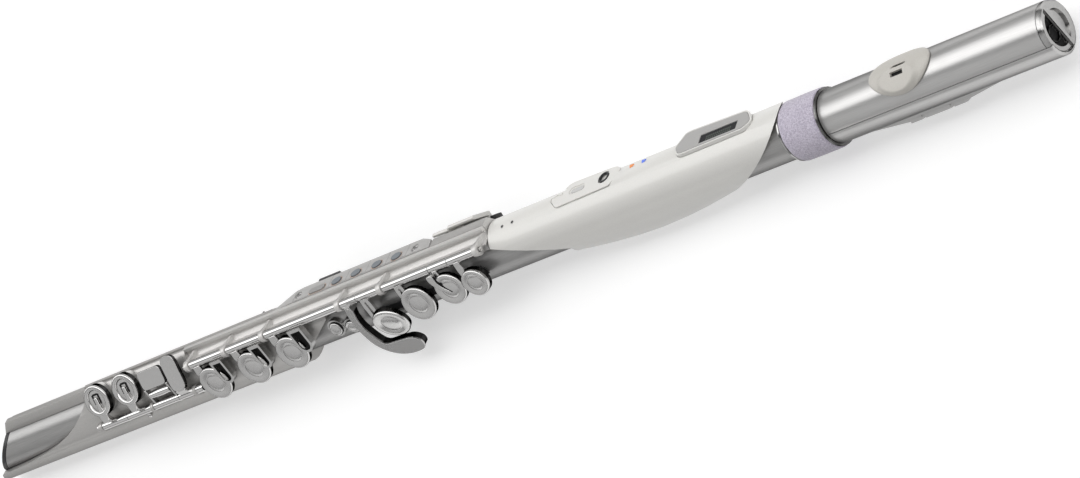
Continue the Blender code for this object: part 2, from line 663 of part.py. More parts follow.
def make_thumb_keys():
    hinge = off_axis(SLOPE_ANGLE, THUMB_SEAT, 7.0)
    knuckle = 1.7
    pin_radius = 0.8
    for number, (start, end, face) in enumerate(THUMB_KEYS, start=1):
        plate = [off_axis(SLOPE_ANGLE, face, -5.5), off_axis(SLOPE_ANGLE, face - 1.2, -6.5),
                 off_axis(SLOPE_ANGLE, face - 2, -5.5), off_axis(SLOPE_ANGLE, face - 2, 5),
                 off_axis(SLOPE_ANGLE, THUMB_SEAT, 5.6), off_axis(SLOPE_ANGLE, THUMB_SEAT, 8.4),
                 off_axis(SLOPE_ANGLE, face, 6.5)]
        key = joined(prism(plate, "x", start, end), cylinder((start, end), knuckle, (0, *hinge), steps=14))
        key = cut(key, cylinder((start - 1, end + 1), pin_radius + GAP, (0, *hinge), steps=12))
        piece("thumb_key_%d" % number, key, "white", pivot=(start, *hinge))
    left = THUMB_KEYS[0][0]
    right = THUMB_KEYS[-1][1]
    foot = [off_axis(SLOPE_ANGLE, BORE_RADIUS - 1.4, 4.5), off_axis(SLOPE_ANGLE, BORE_RADIUS - 4.2, 8.5),
            off_axis(SLOPE_ANGLE, BORE_RADIUS - 2.1, 9.8)]
    ear = foot + [off_axis(SLOPE_ANGLE, THUMB_SEAT - 1.1, 9.6), off_axis(SLOPE_ANGLE, THUMB_SEAT + 2.0, 8.6),
                  off_axis(SLOPE_ANGLE, THUMB_SEAT + 2.0, 5.4)]
    low_foot = foot + [off_axis(SLOPE_ANGLE, BORE_RADIUS + 0.8, 9.6), off_axis(SLOPE_ANGLE, BORE_RADIUS + 0.2, 6.0)]
    shape = joined(prism(ear, "x", left - 2.3, left - GAP), prism(ear, "x", right + GAP, right + 4.8))
    shape = joined(shape, prism(low_foot, "x", left - 1.8, right + 4.2))
    shape = clear_of_tube(shape, (left - 5, right + 10))
    shape = joined(shape, cylinder((left - 1.9, right + 3.8), pin_radius, (0, *hinge), steps=12))
    piece("thumb_key_bracket", shape, "black")


def belly_depth(x):
    """How deep the belly hangs at x."""
    run = BELLY_RUNS[0] if x < BELLY_DEEPEST else BELLY_RUNS[1]
    share = min(1.0, abs(x - BELLY_DEEPEST) / run)
    return BELLY_SLIM + BELLY_DEPTH * math.cos(share * math.pi / 2)


def belly_station(x):
    def outer(turn):
        return oval_radius(turn, bottom=belly_depth(x))

    def inner(turn):
        return hollow_radius(turn, belly_depth(x))

    return (x, outer, inner)


def side_cut(edge_x, heights, far, count=9):
    """What lies beyond a curved edge in the side view."""
    low, high = heights
    levels = [low + (high - low) * i / (count - 1) for i in range(count)]
    points = [(edge_x(h), h) for h in levels]
    points += [(far, high), (far, -REACH), (edge_x(low), -REACH)]
    return prism(points, "f", -REACH, REACH)


def casing_envelope(x_range):
    """The belly's outside with a gap round it, as a solid."""
    outline = ring_outline(lambda turn: oval_radius(turn, -GAP))
    return prism(outline, "x", *x_range)


def on_lid(shape):
    """Tips a shape that is drawn round the h axis onto the plane of the lids."""
    return leaned(shape, LID_ANGLE - 90)


PORT_OUTLINE = [(30.1, 5.0), (25.6, -0.2), (25.5, -2.0), (28.5, -4.2), (32.1, -3.1), (33.9, -6.7), (37.3, -7.8),
                (62.2, -7.1), (65.6, -6.4), (68.3, -4.1), (64.4, 2.3), (63.2, 4.2)]
POD_OUTLINE = [(103.7, 0.9), (102.9, -1.2), (104.1, -3.2), (107.6, -8.7), (111.1, -9.0), (143.1, -7.5),
               (145.1, -6.6), (147.2, -4.0), (149.2, 0.4), (148.1, 2.3), (144.7, 4.5), (108.0, 4.7), (105.9, 3.9)]


def lid(outline, face):
    """A lid that is let into the crown of the belly and stands over its far side."""
    x_range = (min(x for x, f in outline) - 5, max(x for x, f in outline) + 5)
    above = [(x_range[0] - 1, -REACH), (x_range[1] + 1, -REACH), (x_range[1] + 1, REACH), (x_range[0] - 1, REACH)]
    under = cut(casing_envelope(x_range), on_lid(prism(above, "h", LID_SEAT + GAP, REACH)))
    return cut(on_lid(prism(outline, "h", 0.0, face)), under)


def lid_seat(outline):
    return on_lid(prism(grown(outline, GAP), "h", LID_SEAT, REACH))


def make_belly():
    def left_edge(h):
        return 11.5 - 2.7 * h - 0.03 * h ** 2

    def right_edge(h):
        return 144.6 + 1.75 * h - 0.026 * h ** 2

    left_run, right_run = BELLY_RUNS
    places = [BELLY_START, BELLY_DEEPEST - left_run]
    places += [BELLY_DEEPEST - left_run * share for share in (0.85, 0.68, 0.5, 0.3, 0.0)]
    places += [BELLY_DEEPEST + right_run * share for share in (0.3, 0.5, 0.68, 0.85, 1.0)]
    places.append(BELLY_END)
    ends = (BELLY_START - 5, BELLY_END + 5)
    halves = (("belly_shell_front", (BELLY_SPLIT + GAP / 2, REACH)),
              ("belly_shell_back", (-REACH, BELLY_SPLIT - GAP / 2)))
    for name, f_range in halves:
        shape = lofted_shell([belly_station(x) for x in places])
        shape = cut(shape, side_cut(left_edge, (-5.6, 9.2), ends[0]))
        shape = cut(shape, side_cut(right_edge, (-13.0, CASING_CROWN + 2), ends[1]))
        shape = cut(shape, rest_cutter(ends))
        shape = cut(shape, cylinder((SLEEVE_START - 1.3, ends[1]), SLEEVE_RADIUS + GAP, (0, 0, 0), steps=32))
        if f_range[0] > -REACH:
            shape = cut(shape, lid_seat(PORT_OUTLINE), lid_seat(POD_OUTLINE))
            for lamp_name, x, look in (("lamp_orange", 75.5, "orange"), ("lamp_blue", 82.9, "blue")):
                lamp_f = -1.4
                top = CASING_CROWN + 0.1
                shape = cut(shape, cylinder((top - 0.9, REACH), LAMP_RADIUS + GAP, (x, lamp_f, 0), "h", 12))
                piece(lamp_name, cylinder((top - 0.6, top), LAMP_RADIUS, (x, lamp_f, 0), "h", 12), look)
        shape = combined(shape, box(ends, f_range, (-REACH, REACH)), "INTERSECT")
        piece(name, shape, "white")
    board_top = -TUBE_RADIUS - 0.5
    board = box(BOARD_SPAN, (-5.0, 5.0), (board_top - 1.2, board_top))
    piece("main_board", board, "green")


def make_ports():
    shape = lid(PORT_OUTLINE, PORT_FACE)
    usb_x = (USB_CENTRE[0] - USB_HALF[0], USB_CENTRE[0] + USB_HALF[0])
    skin = 0.45
    floor = LID_SEAT + GAP
    hole = slot_outline(usb_x, USB_CENTRE[1], USB_HALF[1])
    shell = grown(hole, -GAP)
    shape = cut(shape, on_lid(prism(hole, "h", 0, REACH)))
    shape = cut(shape, on_lid(cylinder((0, REACH), JACK_RADIUS + GAP, (*JACK_CENTRE, 0), "h", 20)))
    piece("port_panel", shape, "white")
    usb = prism(shell, "h", floor, PORT_FACE + 0.05)
    usb = cut(usb, prism(grown(shell, -skin), "h", floor + 0.2, REACH))
    piece("usb_port", on_lid(usb), "black")
    rim = 0.4
    profile = ((floor, JACK_BORE), (floor, JACK_RADIUS), (PORT_FACE + 0.1, JACK_RADIUS),
               (PORT_FACE + 0.3, JACK_RADIUS - rim), (PORT_FACE + 0.3, JACK_BORE))
    jack = turned(profile, (*JACK_CENTRE, 0), "h", 20, closed=True)
    piece("headphone_jack", on_lid(jack), "black")


def make_display():
    floor = POD_FACE - 1.0
    pocket = box((SCREEN_X[0] - GAP, SCREEN_X[1] + GAP), (SCREEN_F[0] - GAP, SCREEN_F[1] + GAP), (floor, REACH))
    piece("display_pod", cut(lid(POD_OUTLINE, POD_FACE), on_lid(pocket)), "panel")
    screen = on_lid(box(SCREEN_X, SCREEN_F, (floor + GAP, POD_FACE + 0.1)))
    piece("display_screen", screen, "black")


def make_joint_sleeve():
    shape = ring((SLEEVE_START, SLEEVE_END), SLEEVE_RADIUS, BORE_RADIUS, steps=32)
    piece("joint_sleeve", shape, "fabric")
    rings = (("sleeve_ring_foot", SLEEVE_START - 0.2 - RING_WIDTH), ("sleeve_ring_head", SLEEVE_END + 0.2))
    for name, start in rings:
        piece(name, ring((start, start + RING_WIDTH), RING_RADIUS, BORE_RADIUS, steps=32), "chrome")


def make_rods():
    start = BED_START + 0.7
    end = FRAME_END - 1.4
    collar = 1.9
    shoulder = BED_START + 1.8
    profile = ((start, 0), (start, collar), (shoulder, collar), (shoulder, ROD_RADIUS), (end, ROD_RADIUS), (end, 0))
    rod = turned(profile, (0, *MAIN_ROD), steps=12)
    slot = box((end - 0.8, end + 1), (0, REACH), (MAIN_ROD[1] - 0.2, MAIN_ROD[1] + 0.2))
    piece("main_rod", cut(rod, slot), "chrome")
    barrel = 2.5
    left, right = FOOT_PLATE_X
    profile = ((left - 1.2, 0), (left - 1.2, 2.0), (left - GAP, 2.0), (left - GAP, ROD_RADIUS),
               (right + GAP, ROD_RADIUS), (right + GAP, barrel), (right + 3.9, barrel - 0.2),
               (right + 4.5, barrel - 0.7), (right + 4.5, 0))
    piece("foot_rod", turned(profile, (0, *FOOT_ROD), steps=12), "chrome")


def make_foot_plate():
    back = CASING_HALF_WIDTH + GAP
    front = back + 0.65
    left, right = FOOT_PLATE_X
    outline = [(left, -1.6), (left, -3.6), (left + 5, -5.6), (left + 14, -6.5), (right - 34.5, -6.6),
               (right - 24.5, -6.0), (right - 18.5, -4.0), (right, -3.8), (right, -1.6), (right - 18.5, -0.4),
               (right - 34.5, 0.4), (left + 14, 0.4), (left + 5, -0.4)]
    shape = prism(outline, "f", back, front)
    for start, end in ((left, left + 2.8), (-262.6, -260.6), (right - 2.4, right)):
        post = joined(box((start, end), (back, FOOT_ROD[0]), (-3.4, -0.6)),
                      cylinder((start, end), 2.6, (0, *FOOT_ROD), steps=12))
        shape = joined(shape, post)
    shape = cut(shape, cylinder((left - 5, right + 5), KEY_TUBE_BORE, (0, *FOOT_ROD), steps=10))
    screw = (left + 32.0, -4.6)
    head = 1.5
    profile = ((front + GAP, 0), (front + GAP, head), (front + 0.8, head), (front + 1.1, head - 0.5),
               (front + 1.1, 0))
    shaft = turned(profile, (screw[0], 0, screw[1]), "f", 14)
    slot = box((screw[0] - 2, screw[0] + 2), (front + 0.9, REACH), (screw[1] - 0.2, screw[1] + 0.2))
    piece("foot_plate_screw", cut(shaft, slot), "chrome")
    piece("foot_plate", shape, "silver")


def on_key_tube(shape, span, rod):
    """Seats a key's arms on its tube."""
    shape = cut(shape, cylinder((span[0] - 3, span[1] + 3), KEY_TUBE_RADIUS - GAP, (0, *rod), steps=12))
    return joined(shape, ring(span, KEY_TUBE_RADIUS, KEY_TUBE_BORE, centre=rod, steps=12))


def key_disc(x, radius, angle=0.0, rise=0.0, shift=0.0):
    """A round touch with a low dome, a groove round it and a flat rim."""
    back = DISC_FACE - DISC_THICKNESS
    face = DISC_FACE + rise
    dome = DOME_RADIUS * radius / DISC_RADIUS
    profile = ((back, 0), (back, radius), (face - 0.4, radius), (face, radius - 0.4), (face, dome + 0.8),
               (face - 0.4, dome + 0.4), (face + 0.2, 0))
    return leaned(turned(profile, (x, 0, shift), "f", 24), angle)


def make_finger_keys():
    back = DISC_FACE - DISC_THICKNESS
    arm_f = (back + 0.3, back + 0.3 + ARM_THICKNESS)
    arm_half = 2.75
    hook = -2.4
    right_keys = ((-213.1, -218.2, (-222.7, -198.3), (-206.6, -198.6)),
                  (-184.2, -189.8, (-194.9, -169.9), (-178.0, -170.2)),
                  (-155.9, -161.6, (-166.4, -115.0), (-149.0, -140.0)))
    for number, (x, arm_x, span, loop) in enumerate(right_keys, start=1):
        arm = box((arm_x - arm_half, arm_x + arm_half), arm_f, (3.0, MAIN_ROD[1]))
        frame = box(loop, (back + 0.7, back + 0.7 + LOOP_DEPTH), (hook, MAIN_ROD[1] - 0.5))
        hollow = box((loop[0] + LOOP_WALL, loop[1] - LOOP_WALL), (back + 1.5, REACH),
                     (hook + LOOP_WALL, MAIN_ROD[1] - 2.5))
        shape = joined(key_disc(x, DISC_RADIUS), arm, cut(frame, hollow))
        piece("right_key_%d" % number, on_key_tube(shape, span, MAIN_ROD), "silver", (x, *MAIN_ROD), -OPEN_ANGLE)
    left_keys = ((-90.4, 9.3, -95.4, 5.5, (-100.6, -85.8), -18.0, 0.0, 0.0),
                 (-67.1, 9.15, -72.0, 5.5, (-82.2, -50.9), 0.0, 0.0, -0.4),
                 (-44.7, 8.45, -47.2, 3.4, (-50.6, -38.2), 0.0, 0.0, 0.6),
                 (-28.6, 7.1, -32.6, 4.0, (-37.9, -20.8), 0.0, 0.9, -0.6))
    for number, (x, radius, arm_x, width, span, angle, rise, shift) in enumerate(left_keys, start=1):
        reach = -2.0 if angle else 3.0
        arm = box((arm_x - width / 2, arm_x + width / 2), arm_f, (reach, MAIN_ROD[1]))
        shape = on_key_tube(joined(key_disc(x, radius, angle, rise, shift), arm), span, MAIN_ROD)
        piece("left_key_%d" % number, shape, "silver", (x, *MAIN_ROD), -OPEN_ANGLE)


LEVER_OUTLINE = [(-105.8, 12.6), (-108.2, 6.7), (-109.3, -0.2), (-109.3, -6.0), (-108.4, -11.6), (-105.9, -16.2),
                 (-102.3, -19.9), (-97.8, -22.4), (-92.0, -23.7), (-86.0, -23.6), (-83.6, -22.0), (-83.0, -19.0),
                 (-85.0, -16.3), (-88.5, -14.8), (-96.5, -14.2), (-102.3, -13.6), (-104.4, -10.1), (-105.4, -5.3),
                 (-105.9, 0.0), (-104.9, 5.4), (-102.8, 10.4)]


def make_lever():
    front = LEVER_BACK + LEVER_THICKNESS
    shape = prism(LEVER_OUTLINE, "f", LEVER_BACK, front)
    neck = box((-106.4, -102.8), (MAIN_ROD[0] + 0.4, front - 0.2), (MAIN_ROD[1] - 2.4, MAIN_ROD[1] + 0.9))
    span = (-111.4, -100.9)
    shape = on_key_tube(joined(shape, neck), span, MAIN_ROD)
    piece("little_finger_lever", shape, "silver", (span[0], *MAIN_ROD))


def make_trill_buttons():
    places = ((-125.6, 6.6), (-115.7, -2.0))
    radius = 3.5
    wall = 1.0
    cup_top = BORE_RADIUS + 1.8
    button_top = BORE_RADIUS + 3.0
    shape = None
    for x, angle in places:
        outer = radius + GAP + wall
        cup = turned(((BORE_RADIUS - 1.5, 0), (BORE_RADIUS - 1.5, outer), (cup_top, outer), (cup_top, 0)),
                     (x, 0, 0), "f", 20, angle=angle)
        shape = joined(shape, cup) if shape else cup
    bridge = box((places[0][0] + 1, places[1][0] - 1), (BORE_RADIUS - 1, BORE_RADIUS + 0.9), (-2.0, 2.6))
    shape = clear_of_tube(joined(shape, bridge), (places[0][0] - 10, places[1][0] + 10))
    for number, (x, angle) in enumerate(places, start=1):
        hole = cylinder((BORE_RADIUS + 0.4, REACH), radius + GAP, (x, 0, 0), "f", 20, angle=angle)
        shape = cut(shape, hole)
        foot = BORE_RADIUS + 1.6
        profile = ((foot, 0), (foot, radius), (button_top - 0.4, radius), (button_top, radius - 0.5), (button_top, 0))
        piece("trill_button_%d" % number, turned(profile, (x, 0, 0), "f", 20, angle=angle), "silver")
    piece("trill_boss", shape, "silver")


def make_key_rail():
    span = (-100.0, -17.0)
    shape = box(span, (BORE_RADIUS, BORE_RADIUS + 0.9), (-2.4, 2.4))
    for x in (-67.1, -44.7, -28.6):
        shape = joined(shape, cylinder((BORE_RADIUS, BORE_RADIUS + 1.2), 4.0, (x, 0, 0), "f", 16))
    piece("key_rail", clear_of_tube(shape, span), "black")


def make_foot_cups():
    rest = FOOT_SEAT_ANGLE
    back = FOOT_SEAT + GAP + 0.05
    face = back + FOOT_CUP_THICKNESS
    radius = 8.55
    spans = ((-300.9, -281.3), (-281.0, -262.9))
    lower = off_axis(rest, back + 2.7, FOOT_CUP_SHIFT - radius + 0.8)
    arm_half = 1.85
    for number, (x, span) in enumerate(zip(FOOT_CUP_PLACES, spans), start=1):
        profile = ((back, 0), (back, radius), (face - 0.4, radius), (face, radius - 0.4), (face, 6.2),
                   (face - 0.8, 5.2), (face - 0.8, 0))
        disc = leaned(turned(profile, (x, 0, FOOT_CUP_SHIFT), "f", 24), rest)
        arm = bar(FOOT_ROD, lower, 2.2, (x - arm_half, x + arm_half))
        piece("foot_cup_%d" % number, on_key_tube(joined(disc, arm), span, FOOT_ROD), "silver", (x, *FOOT_ROD),
              OPEN_ANGLE)


def opened(point):
    """Where a point of an open foot touch lies, once it has turned on the foot rod."""
    turn = math.radians(OPEN_ANGLE)
    across = point[0] - FOOT_ROD[0]
    up = point[1] - FOOT_ROD[1]
    return (FOOT_ROD[0] + across * math.cos(turn) + up * math.sin(turn),
            FOOT_ROD[1] - across * math.sin(turn) + up * math.cos(turn))


def make_foot_touches():
    rest = FOOT_SEAT_ANGLE
    low = FOOT_SEAT + FOOT_TOUCH_RISE
    top = low + 1.7
    roller = off_axis(rest, low - 0.3, -2.9)
    axle = 0.8
    left, right = -258.6, -241.1
    d_outline = [off_axis(rest, low, 0.2), off_axis(rest, top, 0.2), off_axis(rest, top, 9.6),
                 off_axis(rest, top - 0.6, 10.3), off_axis(rest, low, 10.3)]
    touch = prism(d_outline, "x", left, right)
    for x_range in ((left, left + 1.4), (right - 1.1, right)):
        touch = joined(touch, bar(FOOT_ROD, off_axis(rest, low + 0.7, 1.0), 2.6, x_range))
    touch = on_key_tube(touch, (left - 1.7, right + 0.1), FOOT_ROD)
    touch = joined(touch, cylinder((left + 0.4, right - 0.4), axle, (0, *roller), steps=12))
    piece("foot_touch", touch, "silver", (-250.0, *FOOT_ROD), OPEN_ANGLE)
    roller_x = (left + 1.8, right - 1.4)
    bore = axle + GAP
    belly = 2.2
    waist = 1.8
    profile = ((roller_x[0], bore), (roller_x[0], waist), (roller_x[0] + 3.5, belly), (roller_x[1] - 3.5, belly),
               (roller_x[1], waist), (roller_x[1], bore))
    body = turned(profile, (0, *opened(roller)), steps=16, closed=True)
    piece("roller", body, "black", (roller_x[0], *opened(roller)))
    left, right = -239.5, -229.0
    tall = [off_axis(rest, low, -6), off_axis(rest, top, -6), off_axis(rest, top, 12.2),
            off_axis(rest, top - 0.6, 13), off_axis(rest, low, 13)]
    shape = joined(prism(tall, "x", left, right), bar(FOOT_ROD, off_axis(rest, low + 0.8, -5.2), 2.4,
                                                      (left + 1.0, right - 2.5)))
    piece("tall_touch", on_key_tube(shape, (left - 1.2, right - 1.2), FOOT_ROD), "silver", (-235.0, *FOOT_ROD),
          OPEN_ANGLE)


def lower_half(x_range, level):
    """Everything below a level."""
    return box(x_range, (-REACH, REACH), (-REACH, level))


def cover_space(x_range):
    """Where the battery cover goes: below the seam and outside the core of the head."""
    core = HEAD_BORE - GAP
    seam = GAP / 2
    outline = [(REACH, seam), (REACH, -REACH), (-REACH, -REACH), (-REACH, seam), (-core, seam)]
    outline += arc((0, 0), core, 182, 358, 24) + [(core, seam)]
    return prism(outline, "x", *x_range)


def make_head():
    spigot_bore = SPIGOT_RADIUS - SPIGOT_WALL
    flange = HEAD_START + HEAD_FLANGE
    profile = ((SPIGOT_START, spigot_bore), (SPIGOT_START, SPIGOT_RADIUS), (HEAD_START, SPIGOT_RADIUS),
               (HEAD_START, HEAD_RADIUS), (HEAD_END, HEAD_RADIUS), (HEAD_END, HEAD_BORE), (flange, HEAD_BORE),
               (flange, spigot_bore))
    shape = turned(profile, (0, 0, 0), steps=32, closed=True)
    cover_x = (HEAD_START - 0.5, END_FACE + 1)
    shape = cut(shape, cover_space(cover_x))
    breath = box((LIP_X - 3, LIP_X + 3), (HEAD_BORE - 1, REACH), (-0.8, 0.8))
    shape = cut(shape, leaned(breath, LIP_ANGLE))
    piece("head_tube", shape, "silver")
    make_lip_plate()
    sensor_x = (LIP_X - 5, LIP_X + 5)
    sensor_n = (HEAD_BORE - 2.4, HEAD_BORE - 0.6)
    sensor_half = 3.0
    sensor = leaned(box(sensor_x, sensor_n, (-sensor_half, sensor_half)), LIP_ANGLE)
    piece("breath_sensor", sensor, "black")
    centre = (0.0, -BATTERY_DROP)
    tray = cylinder((flange + GAP, HEAD_END - 1), HEAD_BORE - GAP, (0, 0, 0), steps=32)
    cells = cylinder((BATTERY_START - 0.5, HEAD_END + 1), BATTERY_RADIUS + GAP, (0, *centre), steps=24)
    tray = cut(tray, cells, lower_half((flange - 1, HEAD_END + 1), -BATTERY_DROP))
    pocket = box((sensor_x[0] - GAP, sensor_x[1] + GAP), (sensor_n[0] - GAP, REACH),
                 (-sensor_half - GAP, sensor_half + GAP))
    piece("battery_tray", cut(tray, leaned(pocket, LIP_ANGLE)), "black")
    nub = 2.6
    for number in (1, 2):
        start = BATTERY_START + (number - 1) * (BATTERY_LENGTH + BATTERY_SPACE)
        end = start + BATTERY_LENGTH
        shoulder = end - 1
        profile = ((start, 0), (start, BATTERY_RADIUS), (shoulder, BATTERY_RADIUS), (shoulder, nub), (end, nub),
                   (end, 0))
        piece("battery_%d" % number, turned(profile, (0, *centre), steps=20), "cell")
    make_end_cap()
    make_battery_cover()


def make_lip_plate():
    inner = HEAD_RADIUS + GAP
    saddle_half = (8.5, 4.7)
    saddle_angle = LIP_ANGLE - 23.0
    plate = ring((LIP_X - LIP_HALF[0] - 1, LIP_X + LIP_HALF[0] + 1), inner + LIP_THICKNESS, inner, steps=32)
    saddle = ring((LIP_X - saddle_half[0] - 1, LIP_X + saddle_half[0] + 1), inner + LIP_THICKNESS + SADDLE_RISE,
                  inner + 0.5, steps=32)
    keep = leaned(prism(oval_outline((LIP_X, 0), LIP_HALF, RING_POINTS), "f", 2, REACH), LIP_ANGLE)
    saddle_keep = leaned(prism(oval_outline((LIP_X, 0), saddle_half, RING_POINTS), "f", 2, REACH), saddle_angle)
    plate = joined(combined(plate, keep, "INTERSECT"), combined(saddle, saddle_keep, "INTERSECT"))
    for angle in (LIP_ANGLE + 1.0, LIP_ANGLE - 9.5):
        slot = box((LIP_X - 2.7, LIP_X + 4.3), (HEAD_RADIUS - 2, REACH), (-0.75, 0.75))
        plate = cut(plate, leaned(slot, angle))
    piece("lip_plate", plate, "warm_grey")


def make_end_cap():
    start = HEAD_END + GAP
    profile = ((start, 0), (start, HEAD_RADIUS), (END_FACE - END_STEP, HEAD_RADIUS),
               (END_FACE, HEAD_RADIUS - END_STEP), (END_FACE, 0))
    cap = turned(profile, (0, 0, 0), steps=36)
    cap = cut(cap, cover_space((HEAD_END - 1, END_FACE + 1)))
    rim = 1.4
    hollows = ((HEAD_RADIUS - rim, END_STEP, -89, 89), (8.3, 2.0, -85, 85), (8.0, 1.0, 101, 259))
    for radius, depth, first, last in hollows:
        cap = cut(cap, prism(arc((0, 0), radius, first, last, 16), "x", END_FACE - depth, END_FACE + 1))
    piece("end_cap", cap, "chrome")


def make_battery_cover():
    start = HEAD_START
    edge = END_STEP
    profile = ((start, HEAD_BORE), (start, HEAD_RADIUS), (END_FACE - edge, HEAD_RADIUS),
               (END_FACE, HEAD_RADIUS - edge), (END_FACE, HEAD_BORE))
    shape = turned(profile, (0, 0, 0), steps=32, closed=True)
    shape = combined(shape, lower_half((start - 1, END_FACE + 1), -GAP / 2), "INTERSECT")
    ramp = 20.0
    foot = HEAD_RADIUS - 0.5
    top = HEAD_RADIUS + GRIP_RISE
    groove = HEAD_RADIUS + 1.0
    profile = [(GRIP_START - ramp, foot), (GRIP_START - ramp, HEAD_RADIUS + 0.05), (GRIP_START, HEAD_RADIUS + 2.1)]
    x = GRIP_START
    for number, width in enumerate(GRIP_RIBS, start=1):
        profile += [(x, top), (x + width, top)]
        x += width
        if number < len(GRIP_RIBS):
            profile += [(x, groove), (x + GRIP_GROOVE, groove)]
            x += GRIP_GROOVE
    profile += [(x, HEAD_RADIUS + 2.2), (x + ramp, HEAD_RADIUS + 0.05), (x + ramp, foot)]
    grips = turned(profile, (0, 0, 0), steps=32, closed=True)
    wedge = [(0.0, 0.0), off_axis(240, REACH), off_axis(270, REACH), off_axis(300, REACH)]
    grips = combined(grips, prism(wedge, "x", start, END_FACE), "INTERSECT")
    piece("battery_cover", joined(shape, grips), "silver")


def main():
    make_body_tube()
    make_foot_casing()
    make_key_frame()
    make_deck()
    make_control_panel()
    make_thumb_rest()
    make_thumb_keys()
    make_belly()
    make_ports()
    make_display()
    make_joint_sleeve()
    make_rods()
    make_foot_plate()
    make_finger_keys()
    make_lever()
    make_trill_buttons()
    make_key_rail()
    make_foot_cups()
    make_foot_touches()
    make_head()


for old in list(bpy.data.objects):
    bpy.data.objects.remove(old)
PARTS = bpy.data.collections.new("digital_wind_instrument")
bpy.context.scene.collection.children.link(PARTS)
STANCE = bpy.data.objects.new("stance", None)
bpy.context.scene.collection.objects.link(STANCE)
STANCE.rotation_euler = (math.radians(180 - REST_ANGLE), 0, 0)
STANCE.location = (-BELLY_REST_X * MM, 0, REST_DISTANCE * MM)
main()
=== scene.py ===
"""The looks of the digital wind instrument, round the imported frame.

Sizes are in millimetres round the body tube, as in the part's source: x runs along the tube, f points
to the finger keys and h to the deck. They are turned into metres where a shape is made.
"""
import json
import math

import bmesh
import bpy
from mathutils import Matrix, Vector, noise


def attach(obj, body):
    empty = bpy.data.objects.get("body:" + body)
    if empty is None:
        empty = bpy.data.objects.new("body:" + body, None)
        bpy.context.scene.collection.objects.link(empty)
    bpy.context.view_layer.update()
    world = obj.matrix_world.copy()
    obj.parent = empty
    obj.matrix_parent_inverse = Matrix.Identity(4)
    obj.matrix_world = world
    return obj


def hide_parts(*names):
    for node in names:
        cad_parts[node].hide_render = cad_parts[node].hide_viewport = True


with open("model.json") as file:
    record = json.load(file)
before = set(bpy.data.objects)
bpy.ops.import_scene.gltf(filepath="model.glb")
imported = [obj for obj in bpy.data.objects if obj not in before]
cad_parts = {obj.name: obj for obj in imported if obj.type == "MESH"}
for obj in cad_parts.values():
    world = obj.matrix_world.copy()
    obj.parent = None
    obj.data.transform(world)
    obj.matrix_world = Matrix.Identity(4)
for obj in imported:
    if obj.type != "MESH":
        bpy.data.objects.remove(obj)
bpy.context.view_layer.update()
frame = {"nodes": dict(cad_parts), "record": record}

MM = 0.001
GAP = 0.3
WELD = 0.001 * MM
REACH = 40.0
FINE = 64

# The stance of the instrument, as its frame has it
AXIS_HEIGHT = 0.015
AXIS_SHIFT = -0.080
STANCE_TURN = math.radians(-45)

# The camera, fitted to the photograph
FOCAL_PIXELS = 3800
PHOTO_WIDTH = 1080
CAMERA_DISTANCE = 1.740
AXIS_TOWARD_CAMERA = math.radians(41)
CAMERA_FACING = math.radians(32)
PHOTO_ROLL = math.radians(21.8)
SENSOR_WIDTH = 36.0
SHIFT = (0.0075, -0.0016)

# Sizes shared with the part's source
TUBE_RADIUS = 11.3
BORE_RADIUS = TUBE_RADIUS + GAP
DECK_SEAT = BORE_RADIUS + 0.9
DECK_TOP = BORE_RADIUS + 6.0
PANEL_TOP = DECK_TOP + 0.3
FOOT_SEAT_ANGLE = 34.0
FOOT_SEAT = BORE_RADIUS + 2.5
FOOT_CUP_PLACES = (-293.9, -271.5)
FOOT_CUP_SPANS = ((-300.9, -281.3), (-281.0, -262.9))
FOOT_CUP_SHIFT = 4.78
FOOT_CUP_THICKNESS = 4.2
FOOT_TOUCH_RISE = 2.8
FOOT_ROD = (16.5, 0.2)
MAIN_ROD = (12.4, 12.2)
KEY_TUBE_RADIUS = 2.25
OPEN_ANGLE = 8.0
DISC_FACE = TUBE_RADIUS + 5.4
DISC_THICKNESS = 3.4
DISC_RADIUS = 9.2
DOME_RADIUS = 4.7
ARM_THICKNESS = 1.9
LOOP_DEPTH = 3.3
LOOP_WALL = 1.3
LEVER_BACK = TUBE_RADIUS + 4.9
LEVER_THICKNESS = 2.5
LID_ANGLE = 86.0
PORT_FACE = BORE_RADIUS + 2.6
POD_FACE = BORE_RADIUS + 3.8
SLEEVE_START = 163.3
SLEEVE_END = 183.4
SLEEVE_RADIUS = BORE_RADIUS + 2.1
HEAD_START = 184.7
HEAD_RADIUS = TUBE_RADIUS + 0.8
END_FACE = 304.8
END_STEP = 0.8
LIP_X = 230.5
LIP_ANGLE = 75.0
LIP_HALF = (16.5, 11.2)
LIP_THICKNESS = 1.6
SADDLE_RISE = 1.2


def place(x, f, h):
    return Vector((x, -f, h)) * MM


def off_axis(angle, normal, tangent=0.0):
    """The (f, h) of a point at a distance along the direction at angle, moved along its tangent."""
    turn = math.radians(angle)
    f = normal * math.cos(turn) - tangent * math.sin(turn)
    h = normal * math.sin(turn) + tangent * math.cos(turn)
    return (f, h)


def stance_matrix():
    return Matrix.Translation((AXIS_SHIFT, 0, AXIS_HEIGHT)) @ Matrix.Rotation(STANCE_TURN, 4, "X")


def local_direction(f, h):
    """A direction across the tube, in the room."""
    return (stance_matrix().to_3x3() @ Vector((0, -f, h))).normalized()


def finish_mesh(mesh):
    """Welds a mesh and turns its faces outward."""
    work = bmesh.new()
    work.from_mesh(mesh)
    bmesh.ops.remove_doubles(work, verts=work.verts, dist=WELD)
    bmesh.ops.recalc_face_normals(work, faces=work.faces)
    work.to_mesh(mesh)
    work.free()


